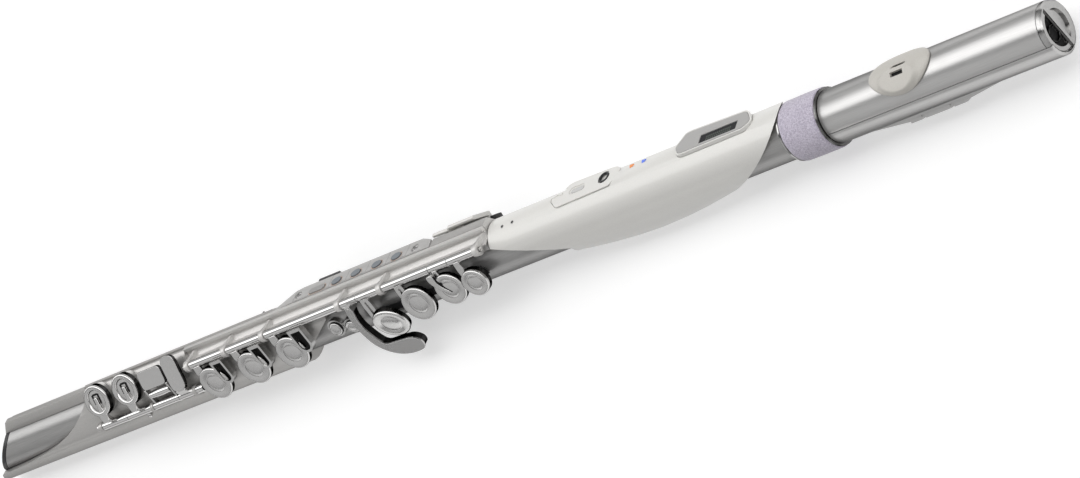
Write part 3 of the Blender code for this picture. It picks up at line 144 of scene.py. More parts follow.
def baked(source):
    """Replaces an object by the plain mesh that it evaluates to."""
    bpy.context.view_layer.update()
    graph = bpy.context.evaluated_depsgraph_get()
    mesh = bpy.data.meshes.new_from_object(source.evaluated_get(graph))
    mesh.transform(source.matrix_world)
    finish_mesh(mesh)
    bpy.data.objects.remove(source)
    return linked(mesh)


def linked(mesh):
    shape = bpy.data.objects.new("shape", mesh)
    bpy.context.scene.collection.objects.link(shape)
    return shape


AXIS_FRAMES = {
    "x": Matrix(((0, 0, -1), (-1, 0, 0), (0, 1, 0))),
    "f": Matrix(((1, 0, 0), (0, 0, -1), (0, 1, 0))),
    "h": Matrix(((1, 0, 0), (0, -1, 0), (0, 0, -1))),
}
AXIS_SIGN = {"x": -1, "f": 1, "h": -1}
AXIS_DIRECTION = {"x": Vector((1, 0, 0)), "f": Vector((0, -1, 0)), "h": Vector((0, 0, 1))}


def prism(points, axis, start, end):
    """A flat outline pushed along an axis. Its points are (f, h), (x, h) or (x, f)."""
    curve = bpy.data.curves.new("outline", "CURVE")
    curve.dimensions = "2D"
    curve.fill_mode = "BOTH"
    curve.extrude = abs(end - start) / 2 * MM
    spline = curve.splines.new("POLY")
    spline.points.add(len(points) - 1)
    for spot, (across, up) in zip(spline.points, points):
        spot.co = (across * MM, up * MM, 0, 1)
    spline.use_cyclic_u = True
    shape = bpy.data.objects.new("outline", curve)
    bpy.context.scene.collection.objects.link(shape)
    middle = Vector((0, 0, AXIS_SIGN[axis] * (start + end) / 2 * MM))
    shape.matrix_world = AXIS_FRAMES[axis].to_4x4() @ Matrix.Translation(middle)
    return baked(shape)


def box(x_range, f_range, h_range):
    """A block between two corners."""
    (f_low, f_high), (h_low, h_high) = f_range, h_range
    corners = ((f_low, h_low), (f_high, h_low), (f_high, h_high), (f_low, h_high))
    return prism(corners, "x", x_range[0], x_range[1])


def turned(profile, centre, axis="x", steps=FINE, closed=False, angle=0.0):
    """A profile of (distance along the axis, radius) turned round an axis through centre."""
    points = [(radius * MM, 0, along * MM) for along, radius in profile]
    edges = [(i, i + 1) for i in range(len(points) - 1)]
    if closed:
        edges.append((len(points) - 1, 0))
    mesh = bpy.data.meshes.new("profile")
    mesh.from_pydata(points, edges, [])
    shape = linked(mesh)
    screw = shape.modifiers.new("Turn", "SCREW")
    screw.axis = "Z"
    screw.steps = steps
    screw.render_steps = steps
    screw.use_merge_vertices = True
    screw.merge_threshold = WELD
    spin = Vector((0, 0, 1)).rotation_difference(AXIS_DIRECTION[axis]).to_matrix().to_4x4()
    lean = Matrix.Rotation(-math.radians(angle), 4, "X")
    shape.matrix_world = lean @ Matrix.Translation(place(*centre)) @ spin
    return baked(shape)


def ring(x_range, outer, inner, centre=(0.0, 0.0), steps=FINE):
    """A tube along x."""
    start, end = x_range
    profile = ((start, inner), (start, outer), (end, outer), (end, inner))
    return turned(profile, (0, *centre), steps=steps, closed=True)


def cylinder(along, radius, centre, axis="x", steps=32, angle=0.0):
    """A plain round bar."""
    start, end = along
    profile = ((start, 0), (start, radius), (end, radius), (end, 0))
    return turned(profile, centre, axis, steps, angle=angle)


def leaned(shape, angle):
    """Turns a shape round the body tube, from f toward h."""
    shape.data.transform(Matrix.Rotation(-math.radians(angle), 4, "X"))
    return shape


def on_lid(shape):
    """Tips a shape that is drawn round the h axis onto the plane of the lids."""
    return leaned(shape, LID_ANGLE - 90)


def combined(shape, other, operation):
    """A shape joined with, cut by or kept within another, which is used up."""
    step = shape.modifiers.new("Combine", "BOOLEAN")
    step.operation = operation
    step.object = other
    result = baked(shape)
    bpy.data.objects.remove(other)
    return result


def cut(shape, *cutters):
    for cutter in cutters:
        shape = combined(shape, cutter, "DIFFERENCE")
    return shape


def gathered(*shapes):
    """Several shapes as one mesh, each left as it is."""
    work = bmesh.new()
    for shape in shapes:
        work.from_mesh(shape.data)
        bpy.data.objects.remove(shape)
    mesh = bpy.data.meshes.new("gathered")
    work.to_mesh(mesh)
    work.free()
    return linked(mesh)


def bar(start, end, width, x_range):
    """A flat bar between two (f, h) points, as thick as width."""
    along = Vector(end) - Vector(start)
    side = Vector((-along.y, along.x)).normalized() * width / 2
    first, last = Vector(start), Vector(end)
    corners = [tuple(first + side), tuple(first - side), tuple(last - side), tuple(last + side)]
    return prism(corners, "x", x_range[0], x_range[1])


def arc(centre, radius, start, end, count):
    """Points along an arc, with its angles in degrees."""
    points = []
    for i in range(count):
        turn = math.radians(start + (end - start) * i / (count - 1))
        points.append((centre[0] + radius * math.cos(turn), centre[1] + radius * math.sin(turn)))
    return points


def grown(outline, margin):
    """An outline with its sides moved outward by a margin."""
    following = outline[1:] + outline[:1]
    area = sum(here[0] * after[1] - after[0] * here[1] for here, after in zip(outline, following))
    reach = margin if area > 0 else -margin
    result = []
    for before, here, after in zip(outline[-1:] + outline[:-1], outline, following):
        first = (Vector(here) - Vector(before)).normalized()
        second = (Vector(after) - Vector(here)).normalized()
        side = Vector((first.y, -first.x))
        corner = (side + Vector((second.y, -second.x))).normalized()
        moved = Vector(here) + corner * reach / corner.dot(side)
        result.append((moved.x, moved.y))
    return result


def rounded(outline, radius, steps=4):
    """An outline with its corners rounded."""
    result = []
    for before, here, after in zip(outline[-1:] + outline[:-1], outline, outline[1:] + outline[:1]):
        here = Vector(here)
        back = Vector(before) - here
        ahead = Vector(after) - here
        reach = min(radius, back.length * 0.45, ahead.length * 0.45)
        first = here + back.normalized() * reach
        last = here + ahead.normalized() * reach
        for i in range(steps + 1):
            share = i / steps
            spot = first * (1 - share) ** 2 + here * 2 * share * (1 - share) + last * share ** 2
            result.append((spot.x, spot.y))
    return result


def oval_outline(centre, half, count=32):
    """An oval by its two half widths."""
    turns = [2 * math.pi * i / count for i in range(count)]
    return [(centre[0] + half[0] * math.cos(turn), centre[1] + half[1] * math.sin(turn)) for turn in turns]


def slot_outline(span, middle, half):
    """A long hole with round ends."""
    start, end = span
    return arc((end - half, middle), half, -90, 90, 9) + arc((start + half, middle), half, 90, 270, 9)


def opened_by(rod, angle):
    """The turn of a key that rests open, round its rod."""
    pivot = place(0, *rod)
    return Matrix.Translation(pivot) @ Matrix.Rotation(math.radians(angle), 4, "X") @ Matrix.Translation(-pivot)


FINGER_TURN = opened_by(MAIN_ROD, -OPEN_ANGLE)
FOOT_TURN = opened_by(FOOT_ROD, OPEN_ANGLE)


def soften(shape, width, segments=2):
    """Rounds the sharp edges of a piece a little, so that they catch the light."""
    step = shape.modifiers.new("Rounded edges", "BEVEL")
    step.width = width * MM
    step.segments = segments
    step.limit_method = "ANGLE"
    step.angle_limit = math.radians(38)
    step.harden_normals = False
    step.use_clamp_overlap = True


def piece(name, shape, look, body="root", stands_for=(), bevel=0.0, turn=None, smooth=35):
    """Names a shape, lays it down with the instrument, dresses it and lets it ride on a body."""
    matrix = stance_matrix() @ turn if turn else stance_matrix()
    shape.data.transform(matrix)
    shape.name = name
    shape.data.name = name
    shape.data.materials.clear()
    shape.data.materials.append(LOOKS[look])
    shape.data.shade_smooth()
    shape.data.set_sharp_from_angle(angle=math.radians(smooth))
    if bevel:
        soften(shape, bevel)
    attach(shape, body)
    if stands_for:
        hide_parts(*stands_for)
    return shape


def make_camera():
    facing = local_direction(math.cos(CAMERA_FACING), math.sin(CAMERA_FACING))
    along = Vector((1, 0, 0))
    back = along * math.sin(AXIS_TOWARD_CAMERA) + facing * math.cos(AXIS_TOWARD_CAMERA)
    back.normalize()
    level = (along - along.dot(back) * back).normalized()
    upright = back.cross(level)
    right = level * math.cos(PHOTO_ROLL) - upright * math.sin(PHOTO_ROLL)
    up = level * math.sin(PHOTO_ROLL) + upright * math.cos(PHOTO_ROLL)
    target = Vector((AXIS_SHIFT, 0, AXIS_HEIGHT))
    data = bpy.data.cameras.new("camera")
    data.sensor_width = SENSOR_WIDTH
    data.lens = FOCAL_PIXELS / PHOTO_WIDTH * SENSOR_WIDTH
    data.shift_x, data.shift_y = SHIFT
    data.clip_end = 20
    camera = bpy.data.objects.new("camera", data)
    bpy.context.scene.collection.objects.link(camera)
    turn = Matrix((right, up, back)).transposed().to_4x4()
    camera.matrix_world = Matrix.Translation(target + back * CAMERA_DISTANCE) @ turn
    bpy.context.scene.camera = camera


# What surrounds the instrument, by the angle from overhead toward its far side, and how bright it is
SURROUND = ((-90, 0.22), (-62, 0.54), (-26, 0.6), (-14, 0.4), (-7, 0.03), (1, 0.03), (8, 2.1), (38, 1.9), (60, 0.6),
            (90, 0.1))


def make_world():
    """One long softbox over the far side, a narrow dark strip beside it, and a dim near side."""
    world = bpy.data.worlds.new("studio")
    bpy.context.scene.world = world
    world.use_nodes = True
    nodes = world.node_tree.nodes
    links = world.node_tree.links
    direction = nodes.new("ShaderNodeTexCoord")
    split = nodes.new("ShaderNodeSeparateXYZ")
    links.new(direction.outputs["Generated"], split.inputs[0])
    angle = nodes.new("ShaderNodeMath")
    angle.operation = "ARCTAN2"
    links.new(split.outputs["Y"], angle.inputs[0])
    links.new(split.outputs["Z"], angle.inputs[1])
    spread = nodes.new("ShaderNodeMapRange")
    spread.inputs["From Min"].default_value = -math.pi / 2
    spread.inputs["From Max"].default_value = math.pi / 2
    links.new(angle.outputs[0], spread.inputs["Value"])
    ramp = nodes.new("ShaderNodeValToRGB")
    stops = ramp.color_ramp.elements
    brightest = max(level for turn, level in SURROUND)
    for number, (turn, level) in enumerate(SURROUND):
        spot = (turn + 90) / 180
        stop = stops[number] if number < 2 else stops.new(spot)
        stop.position = spot
        stop.color = (level / brightest, level / brightest, level / brightest, 1)
    links.new(spread.outputs["Result"], ramp.inputs["Fac"])
    background = nodes["Background"]
    background.inputs["Strength"].default_value = brightest
    links.new(ramp.outputs["Color"], background.inputs["Color"])


FLOOR_GLOW = 0.45


def make_floor():
    work = bmesh.new()
    corners = [work.verts.new((x, y, -0.0002)) for x, y in ((-6, -6), (6, -6), (6, 6), (-6, 6))]
    work.faces.new(corners)
    mesh = bpy.data.meshes.new("floor")
    work.to_mesh(mesh)
    work.free()
    floor = linked(mesh)
    floor.name = "floor"
    made = bpy.data.materials.new("floor_white")
    made.use_nodes = True
    nodes = made.node_tree.nodes
    links = made.node_tree.links
    shader = nodes["Principled BSDF"]
    shader.inputs["Base Color"].default_value = (0.62, 0.62, 0.62, 1)
    shader.inputs["Roughness"].default_value = 0.9
    shader.inputs["Emission Color"].default_value = (1, 1, 1, 1)
    rays = nodes.new("ShaderNodeLightPath")
    seen = rays.outputs["Is Camera Ray"]
    for kind in ("Is Glossy Ray", "Is Transmission Ray"):
        both = nodes.new("ShaderNodeMath")
        both.operation = "ADD"
        both.use_clamp = True
        links.new(seen, both.inputs[0])
        links.new(rays.outputs[kind], both.inputs[1])
        seen = both.outputs[0]
    glow = nodes.new("ShaderNodeMath")
    glow.operation = "MULTIPLY"
    glow.inputs[1].default_value = FLOOR_GLOW
    links.new(seen, glow.inputs[0])
    links.new(glow.outputs[0], shader.inputs["Emission Strength"])
    mesh.materials.append(made)


def make_room():
    make_floor()
    make_world()
    bpy.context.scene.view_settings.view_transform = "Standard"


def new_material(name, colour, roughness, metallic=0.0, coat=0.0, sheen=0.0):
    made = bpy.data.materials.new(name)
    made.use_nodes = True
    shader = made.node_tree.nodes["Principled BSDF"]
    shader.inputs["Base Color"].default_value = (*colour, 1)
    shader.inputs["Roughness"].default_value = roughness
    shader.inputs["Metallic"].default_value = metallic
    shader.inputs["Coat Weight"].default_value = coat
    shader.inputs["Sheen Weight"].default_value = sheen
    return made


def mottled(made, scale, colour_low, colour_high, bump=0.0, stretch=(1, 1, 1), roughness=None, strength=0.3):
    """Adds a noise that shifts the colour, the roughness and the height of a surface."""
    nodes = made.node_tree.nodes
    links = made.node_tree.links
    shader = nodes["Principled BSDF"]
    spot = nodes.new("ShaderNodeTexCoord")
    mapping = nodes.new("ShaderNodeMapping")
    mapping.inputs["Scale"].default_value = stretch
    grain = nodes.new("ShaderNodeTexNoise")
    grain.inputs["Scale"].default_value = scale
    grain.inputs["Detail"].default_value = 4
    links.new(spot.outputs["Object"], mapping.inputs["Vector"])
    links.new(mapping.outputs["Vector"], grain.inputs["Vector"])
    ramp = nodes.new("ShaderNodeValToRGB")
    ramp.color_ramp.elements[0].position = 0.35
    ramp.color_ramp.elements[1].position = 0.65
    ramp.color_ramp.elements[0].color = (*colour_low, 1)
    ramp.color_ramp.elements[1].color = (*colour_high, 1)
    links.new(grain.outputs["Fac"], ramp.inputs["Fac"])
    links.new(ramp.outputs["Color"], shader.inputs["Base Color"])
    if roughness:
        spread = nodes.new("ShaderNodeMapRange")
        spread.inputs["To Min"].default_value = roughness[0]
        spread.inputs["To Max"].default_value = roughness[1]
        links.new(grain.outputs["Fac"], spread.inputs["Value"])
        links.new(spread.outputs["Result"], shader.inputs["Roughness"])
    if bump:
        rise = nodes.new("ShaderNodeBump")
        rise.inputs["Strength"].default_value = strength
        rise.inputs["Distance"].default_value = bump
        links.new(grain.outputs["Fac"], rise.inputs["Height"])
        links.new(rise.outputs["Normal"], shader.inputs["Normal"])
    return made


def grey(value, warmth=1.0):
    return (value, value * (1 - 0.015 * warmth), value * (1 - 0.035 * warmth))


# How bright a metal stays at grazing angles; this near-black tint paints a dark reflection along the edges of every
# metal
PAINTED_DARK_EDGE_TINT = 0.04


def metal(name, value, roughness, scale=900, spread=0.04, bump=2e-6, stretch=(1, 1, 1), warmth=0.6, metallic=1.0):
    low, high = roughness
    made = new_material(name, grey(value, warmth), (low + high) / 2, metallic)
    made.node_tree.nodes["Principled BSDF"].inputs["Specular Tint"].default_value = (*grey(PAINTED_DARK_EDGE_TINT, 0), 1)
    return mottled(made, scale, grey(value - spread, warmth), grey(value + spread, warmth), bump, stretch, roughness)


def plastic(name, colour, roughness, scale=2200, spread=0.03, bump=4e-6, coat=0.0, shine=0.5):
    low, high = roughness
    darker = tuple(channel * (1 - spread) for channel in colour)
    lighter = tuple(channel * (1 + spread) for channel in colour)
    made = new_material(name, colour, (low + high) / 2, 0.0, coat)
    made.node_tree.nodes["Principled BSDF"].inputs["Specular IOR Level"].default_value = shine
    return mottled(made, scale, darker, lighter, bump, roughness=roughness)


def make_materials():
    along = (0.12, 6, 6)
    fabric = new_material("sleeve_fabric", (0.55, 0.5, 0.58), 0.95, sheen=0.4)
    return {
        "dark_tube": metal("dark_tube", 0.42, (0.28, 0.4), stretch=along, metallic=0.7),
        "silver_shell": metal("silver_shell", 0.56, (0.3, 0.4), 1800, 0.03, metallic=0.6, warmth=1.3),
        "key_silver": metal("key_silver", 0.68, (0.2, 0.25), 700, 0.012, bump=0),
        "chrome_fittings": metal("chrome_fittings", 0.76, (0.06, 0.1), 500, 0.01, bump=0),
        "panel_grey": plastic("panel_grey", grey(0.43), (0.4, 0.5), 2600),
        "button_blue_grey": plastic("button_blue_grey", (0.17, 0.19, 0.21), (0.38, 0.48)),
        "black_plastic": plastic("black_plastic", (0.018, 0.018, 0.019), (0.35, 0.5), spread=0.3),
        "white_shell": plastic("white_shell", (0.76, 0.75, 0.72), (0.26, 0.34), 1500, 0.015, 2e-6, 0.2),
        "warm_grey": plastic("warm_grey", (0.56, 0.54, 0.5), (0.42, 0.52), 2000),
        "sleeve_fabric": mottled(fabric, 1500, (0.4, 0.36, 0.45), (0.64, 0.6, 0.69), 3e-4, strength=0.7),
        "orange_lamp": plastic("orange_lamp", (0.9, 0.28, 0.05), (0.25, 0.35)),
        "blue_lamp": plastic("blue_lamp", (0.08, 0.2, 0.9), (0.25, 0.35)),
        "screen_glass": plastic("screen_glass", (0.012, 0.012, 0.014), (0.3, 0.4), bump=0, shine=0.12),
        "circuit_board": plastic("circuit_board", (0.02, 0.12, 0.04), (0.45, 0.55), 800, 0.2),
        "battery_sleeve": plastic("battery_sleeve", (0.2, 0.22, 0.2), (0.35, 0.45), 700, 0.1),
        "brushed_head": metal("brushed_head", 0.6, (0.26, 0.36), spread=0.03, stretch=along, metallic=0.8),
        # Black for the floors of channels, slots, holes, grooves and gaps: painted shade, where these are dark only
        # from the shade in them
        "painted_shade_black": plastic("painted_shade_black", (0.008, 0.008, 0.008), (0.5, 0.6), spread=0.3, shine=0.15),
        "pod_grey": plastic("pod_grey", grey(0.42), (0.36, 0.46), 2600),
        # Near-black metal for the sides of the touches and cups and the ring in the end cap's well: painted dark
        # reflection on the sides, painted shade in the well
        "painted_dark_reflection_and_shade": metal("painted_dark_reflection_and_shade", 0.05, (0.06, 0.12), 700, 0.01, bump=0),
        # A lighter, less metallic copy of the silver shell for the key frame: painted light, for the light that its
        # ribs and wall catch
        "frame_painted_lighter": metal("frame_painted_lighter", 0.68, (0.3, 0.4), 1800, 0.03, metallic=0.4, warmth=1.3),
        "cap_metal": metal("cap_metal", 0.5, (0.14, 0.22), 1300, 0.03),
        "ring_metal": metal("ring_metal", 0.2, (0.18, 0.26), 1300, 0.03),
        "bar_grey": plastic("bar_grey", grey(0.3), (0.4, 0.5), 2600),
        "seam_grey": plastic("seam_grey", grey(0.16), (0.5, 0.6)),
        "rim_copper": plastic("rim_copper", (0.52, 0.4, 0.33), (0.4, 0.5)),
        "screen_cell": plastic("screen_cell", (0.07, 0.08, 0.07), (0.3, 0.4), shine=0.12),
    }


NODE_LOOKS = {"key_frame": "frame_painted_lighter", "end_cap": "cap_metal", "sleeve_ring_foot": "cap_metal",
              "sleeve_ring_head": "ring_metal", "trill_boss": "key_silver"}


EDGE_WIDTHS = {
    "foot_casing": 0.2, "key_frame": 0.14, "deck_cover": 0.2, "control_panel": 0.25, "thumb_rest": 0.2,
    "thumb_key_1": 0.35, "thumb_key_2": 0.35, "thumb_key_bracket": 0.2, "foot_plate": 0.15, "port_panel": 0.3,
    "belly_shell_front": 0.3, "belly_shell_back": 0.3, "battery_cover": 0.35, "head_tube": 0.15,
}



def smooth_group():
    """A node group that welds a mesh and shades it smooth, apart from its sharp edges."""
    group = bpy.data.node_groups.new("smooth_by_angle", "GeometryNodeTree")
    group.interface.new_socket("Geometry", in_out="INPUT", socket_type="NodeSocketGeometry")
    group.interface.new_socket("Geometry", in_out="OUTPUT", socket_type="NodeSocketGeometry")
    nodes = group.nodes
    links = group.links
    start = nodes.new("NodeGroupInput")
    weld = nodes.new("GeometryNodeMergeByDistance")
    weld.inputs["Distance"].default_value = 2e-6
    faces = nodes.new("GeometryNodeSetShadeSmooth")
    edges = nodes.new("GeometryNodeSetShadeSmooth")
    edges.domain = "EDGE"
    angle = nodes.new("GeometryNodeInputMeshEdgeAngle")
    flat = nodes.new("FunctionNodeCompare")
    flat.operation = "LESS_THAN"
    flat.inputs["B"].default_value = math.radians(33)
    end = nodes.new("NodeGroupOutput")
    links.new(start.outputs[0], weld.inputs["Geometry"])
    links.new(weld.outputs[0], faces.inputs["Geometry"])
    links.new(faces.outputs[0], edges.inputs["Geometry"])
    links.new(angle.outputs["Unsigned Angle"], flat.inputs["A"])
    links.new(flat.outputs[0], edges.inputs["Shade Smooth"])
    links.new(edges.outputs[0], end.inputs[0])
    return group


def dress_frame():
    """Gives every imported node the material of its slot, smooth shading, and some of them softer edges."""
    group = smooth_group()
    for part in frame["record"]["subparts"]:
        name = part["node"]
        node = frame["nodes"][name]
        made = LOOKS[NODE_LOOKS.get(name, part["material_slot"])]
        if not node.material_slots:
            node.data.materials.append(made)
        for slot in node.material_slots:
            slot.material = made
        weld = node.modifiers.new("Welded", "WELD")
        weld.merge_threshold = 2e-6
        if name in EDGE_WIDTHS:
            soften(node, EDGE_WIDTHS[name])
        smooth = node.modifiers.new("Smooth", "NODES")
        smooth.node_group = group


def curve_through(points, steps=4):
    """A closed outline that runs smoothly through its points."""
    result = []
    count = len(points)
    for i in range(count):
        p0, p1, p2, p3 = (Vector(points[(i + k) % count]) for k in (-1, 0, 1, 2))
        for s in range(steps):
            t = s / steps
            spot = 0.5 * (2 * p1 + (p2 - p0) * t + (2 * p0 - 5 * p1 + 4 * p2 - p3) * t ** 2
                          + (3 * p1 - p0 - 3 * p2 + p3) * t ** 3)
            result.append((spot.x, spot.y))
    return result


def key_tube(spans, rod, radius=KEY_TUBE_RADIUS):
    """The tube of a key, with eased ends."""
    shapes = []
    for start, end in spans:
        profile = ((start, 1.3), (start, radius - 0.2), (start + 0.2, radius), (end - 0.2, radius),
                   (end, radius - 0.2), (end, 1.3))
        shapes.append(turned(profile, (0, *rod), steps=40, closed=True))
    return gathered(*shapes)


def key_disc(x, radius, angle=0.0, rise=0.0, shift=0.0):
    """A round touch: a rounded rim, a groove and a low dome."""
    back = DISC_FACE - DISC_THICKNESS
    face = DISC_FACE + rise
    dome = DOME_RADIUS * radius / DISC_RADIUS
    profile = [(back, 0), (back, radius - 0.3), (back + 0.3, radius), (face - 0.9, radius), (face - 0.4, radius - 0.12),
               (face - 0.1, radius - 0.42), (face, radius - 0.9), (face - 0.12, dome + 1.5), (face - 0.45, dome + 0.75),
               (face - 0.5, dome + 0.4), (face - 0.35, dome + 0.1), (face - 0.1, dome - 0.35), (face + 0.1, dome * 0.6),
               (face + 0.19, dome * 0.25), (face + 0.2, 0)]
    return leaned(turned(profile, (x, 0, shift), "f"), angle)


def disc_wall(x, radius, angle=0.0, shift=0.0):
    """The side of a touch, seen under its rim, painted near-black as a dark reflection."""
    back = DISC_FACE - DISC_THICKNESS
    wall = turned([(back - 0.02, 0), (back - 0.02, radius - 0.6), (back + 0.2, radius + 0.01),
                   (back + 2.4, radius + 0.01), (back + 2.4, 0)], (x, 0, shift), "f")
    return leaned(wall, angle)


RIGHT_KEYS = ((-213.1, -218.2, (-222.7, -198.3), (-206.6, -198.6)),
              (-184.2, -189.8, (-194.9, -169.9), (-178.0, -170.2)),
              (-155.9, -161.6, (-166.4, -115.0), (-149.0, -140.0)))
LEFT_KEYS = ((-90.4, 9.3, -95.4, 5.5, (-100.6, -85.8), -18.0, 0.0, 0.0),
             (-67.1, 9.15, -72.0, 5.5, (-82.2, -50.9), 0.0, 0.0, -0.4),
             (-44.7, 8.45, -47.2, 3.4, (-50.6, -38.2), 0.0, 0.0, 0.6),
             (-28.6, 7.1, -32.6, 4.0, (-37.9, -20.8), 0.0, 0.9, -0.6))


def make_right_keys():
    back = DISC_FACE - DISC_THICKNESS
    hook = -2.4
    for number, (x, arm_x, span, loop) in enumerate(RIGHT_KEYS, start=1):
        node = "right_key_%d" % number
        body = node + "_body"
        left, right = loop
        top = MAIN_ROD[1] - 0.6
        half = (right - left) / 2
        face = back + 0.7 + LOOP_DEPTH
        bottom = arc((left + half, hook + half), half, 180, 360, 13)
        outer = [(left, top)] + bottom + [(right, top)]
        inner_half = half - LOOP_WALL
        inner = [(left + LOOP_WALL, top - 1.6)] + arc((left + half, hook + half), inner_half, 180, 360, 11)
        inner += [(right - LOOP_WALL, top - 1.6)]
        channel = cut(prism(outer, "f", back + 0.7, face), prism(inner, "f", back + 1.5, REACH))
        piece(node + "_channel", channel, "key_silver", body, bevel=0.35, turn=FINGER_TURN)
        # A black floor inside the channel, painted shade in it
        floor = prism(grown(inner, -0.05), "f", back + 1.4, back + 1.6)
        piece(node + "_channel_shade_floor", floor, "painted_shade_black", body, turn=FINGER_TURN)
        arm_f = (back + 0.3, back + 0.3 + ARM_THICKNESS)
        arm_outline = [(arm_x - 2.2, MAIN_ROD[1] - 0.4), (arm_x - 2.7, 8.0), (arm_x - 1.6, 3.2), (arm_x + 2.7, 3.2),
                       (arm_x + 2.7, 9.0), (arm_x + 2.0, MAIN_ROD[1] - 0.4)]
        arm = prism(arm_outline, "f", *arm_f)
        piece(node + "_arm", arm, "key_silver", body, bevel=0.4, turn=FINGER_TURN)
        disc = piece(node + "_disc", key_disc(x, DISC_RADIUS), "key_silver", body, turn=FINGER_TURN, smooth=50)
        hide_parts(node)
        piece(node + "_wall", disc_wall(x, DISC_RADIUS), "painted_dark_reflection_and_shade", body, turn=FINGER_TURN)
        piece(node + "_tube", key_tube([span], MAIN_ROD), "chrome_fittings", body, turn=FINGER_TURN)


def make_left_keys():
    back = DISC_FACE - DISC_THICKNESS
    arm_f = (back + 0.3, back + 0.3 + ARM_THICKNESS)
    for number, (x, radius, arm_x, width, span, angle, rise, shift) in enumerate(LEFT_KEYS, start=1):
        node = "left_key_%d" % number
        body = node + "_body"
        reach = -2.0 if angle else 3.0
        half = width / 2
        outline = [(arm_x - half + 0.5, MAIN_ROD[1] - 0.3), (arm_x - half, 8.5), (arm_x - half, reach),
                   (arm_x + half, reach), (arm_x + half, 8.5), (arm_x + half - 0.5, MAIN_ROD[1] - 0.3)]
        arm = prism(outline, "f", *arm_f)
        if width > 5:
            slit = [(arm_x - 0.55, 10.2), (arm_x - 0.55, reach - 1), (arm_x + 0.55, reach - 1), (arm_x + 0.55, 10.2)]
            arm = cut(arm, prism(slit, "f", back + 1.1, REACH))
        piece(node + "_arm", arm, "key_silver", body, bevel=0.35, turn=FINGER_TURN)
        disc = key_disc(x, radius, angle, rise, shift)
        disc = piece(node + "_disc", disc, "key_silver", body, turn=FINGER_TURN, smooth=50)
        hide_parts(node)
        piece(node + "_wall", disc_wall(x, radius, angle, shift), "painted_dark_reflection_and_shade", body, turn=FINGER_TURN)
        piece(node + "_tube", key_tube([span], MAIN_ROD), "chrome_fittings", body, turn=FINGER_TURN)


# How much deeper the lever's side, painted dark as a reflection, is than its plate in the source
LEVER_KEEL = 2.2
STRAP = [(-52.0, 10.6), (-51.6, 6.5), (-49.2, 2.5), (-45.4, -0.9), (-44.3, -0.3), (-46.9, 3.0), (-48.4, 6.5),
         (-48.6, 10.6)]
STRAP_LINE = [(-48.6, 9.6), (-48.3, 6.4), (-46.8, 3.0), (-44.2, -0.5), (-43.7, -0.1), (-46.1, 3.2), (-47.6, 6.4),
              (-47.9, 9.6)]
LEVER_OUTLINE = [(-105.8, 12.6), (-108.2, 6.7), (-109.3, -0.2), (-109.3, -6.0), (-108.4, -11.6), (-105.9, -16.2),
                 (-102.3, -19.9), (-97.8, -22.4), (-92.0, -23.7), (-86.0, -23.6), (-83.6, -22.0), (-83.0, -19.0),
                 (-85.0, -16.3), (-88.5, -14.8), (-96.5, -14.2), (-102.3, -13.6), (-104.4, -10.1), (-105.4, -5.3),
                 (-105.9, 0.0), (-104.9, 5.4), (-102.8, 10.4)]


def make_strap():
    """The curved strap over the third left-hand key, with a black line beside it, painted as the shade in the gap."""
    body = "left_key_3_body"
    band = prism(curve_through(STRAP, 3), "f", DISC_FACE - 1.5, DISC_FACE + 0.55)
    piece("left_key_3_strap", band, "key_silver", body, bevel=0.3, turn=FINGER_TURN)
    line = prism(curve_through(STRAP_LINE, 3), "f", DISC_FACE - 0.6, DISC_FACE + 0.22)
    piece("left_key_3_strap_gap", line, "painted_shade_black", body, turn=FINGER_TURN)


def make_lever():
    front = LEVER_BACK + LEVER_THICKNESS
    outline = curve_through(LEVER_OUTLINE, 3)
    inside = [(x + 0.1, h - 0.05) for x, h in grown(LEVER_OUTLINE, -0.35)]
    base = prism(curve_through(inside, 3), "f", LEVER_BACK - LEVER_KEEL, front - 0.7)
    face = prism(outline, "f", front - 1.0, front)
    neck = box((-106.4, -102.8), (MAIN_ROD[0] + 0.4, front - 0.2), (MAIN_ROD[1] - 2.4, MAIN_ROD[1] + 0.9))
    lever = piece("little_finger_lever_plate", gathered(face, neck), "key_silver", "lever_body", bevel=0.6)
    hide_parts("little_finger_lever")
    # The lever's side is painted near-black, a painted dark reflection
    piece("little_finger_lever_painted_dark_side", base, "painted_dark_reflection_and_shade", "lever_body", bevel=0.9)
    piece("little_finger_lever_tube", key_tube([(-111.4, -100.9)], MAIN_ROD), "chrome_fittings", "lever_body")


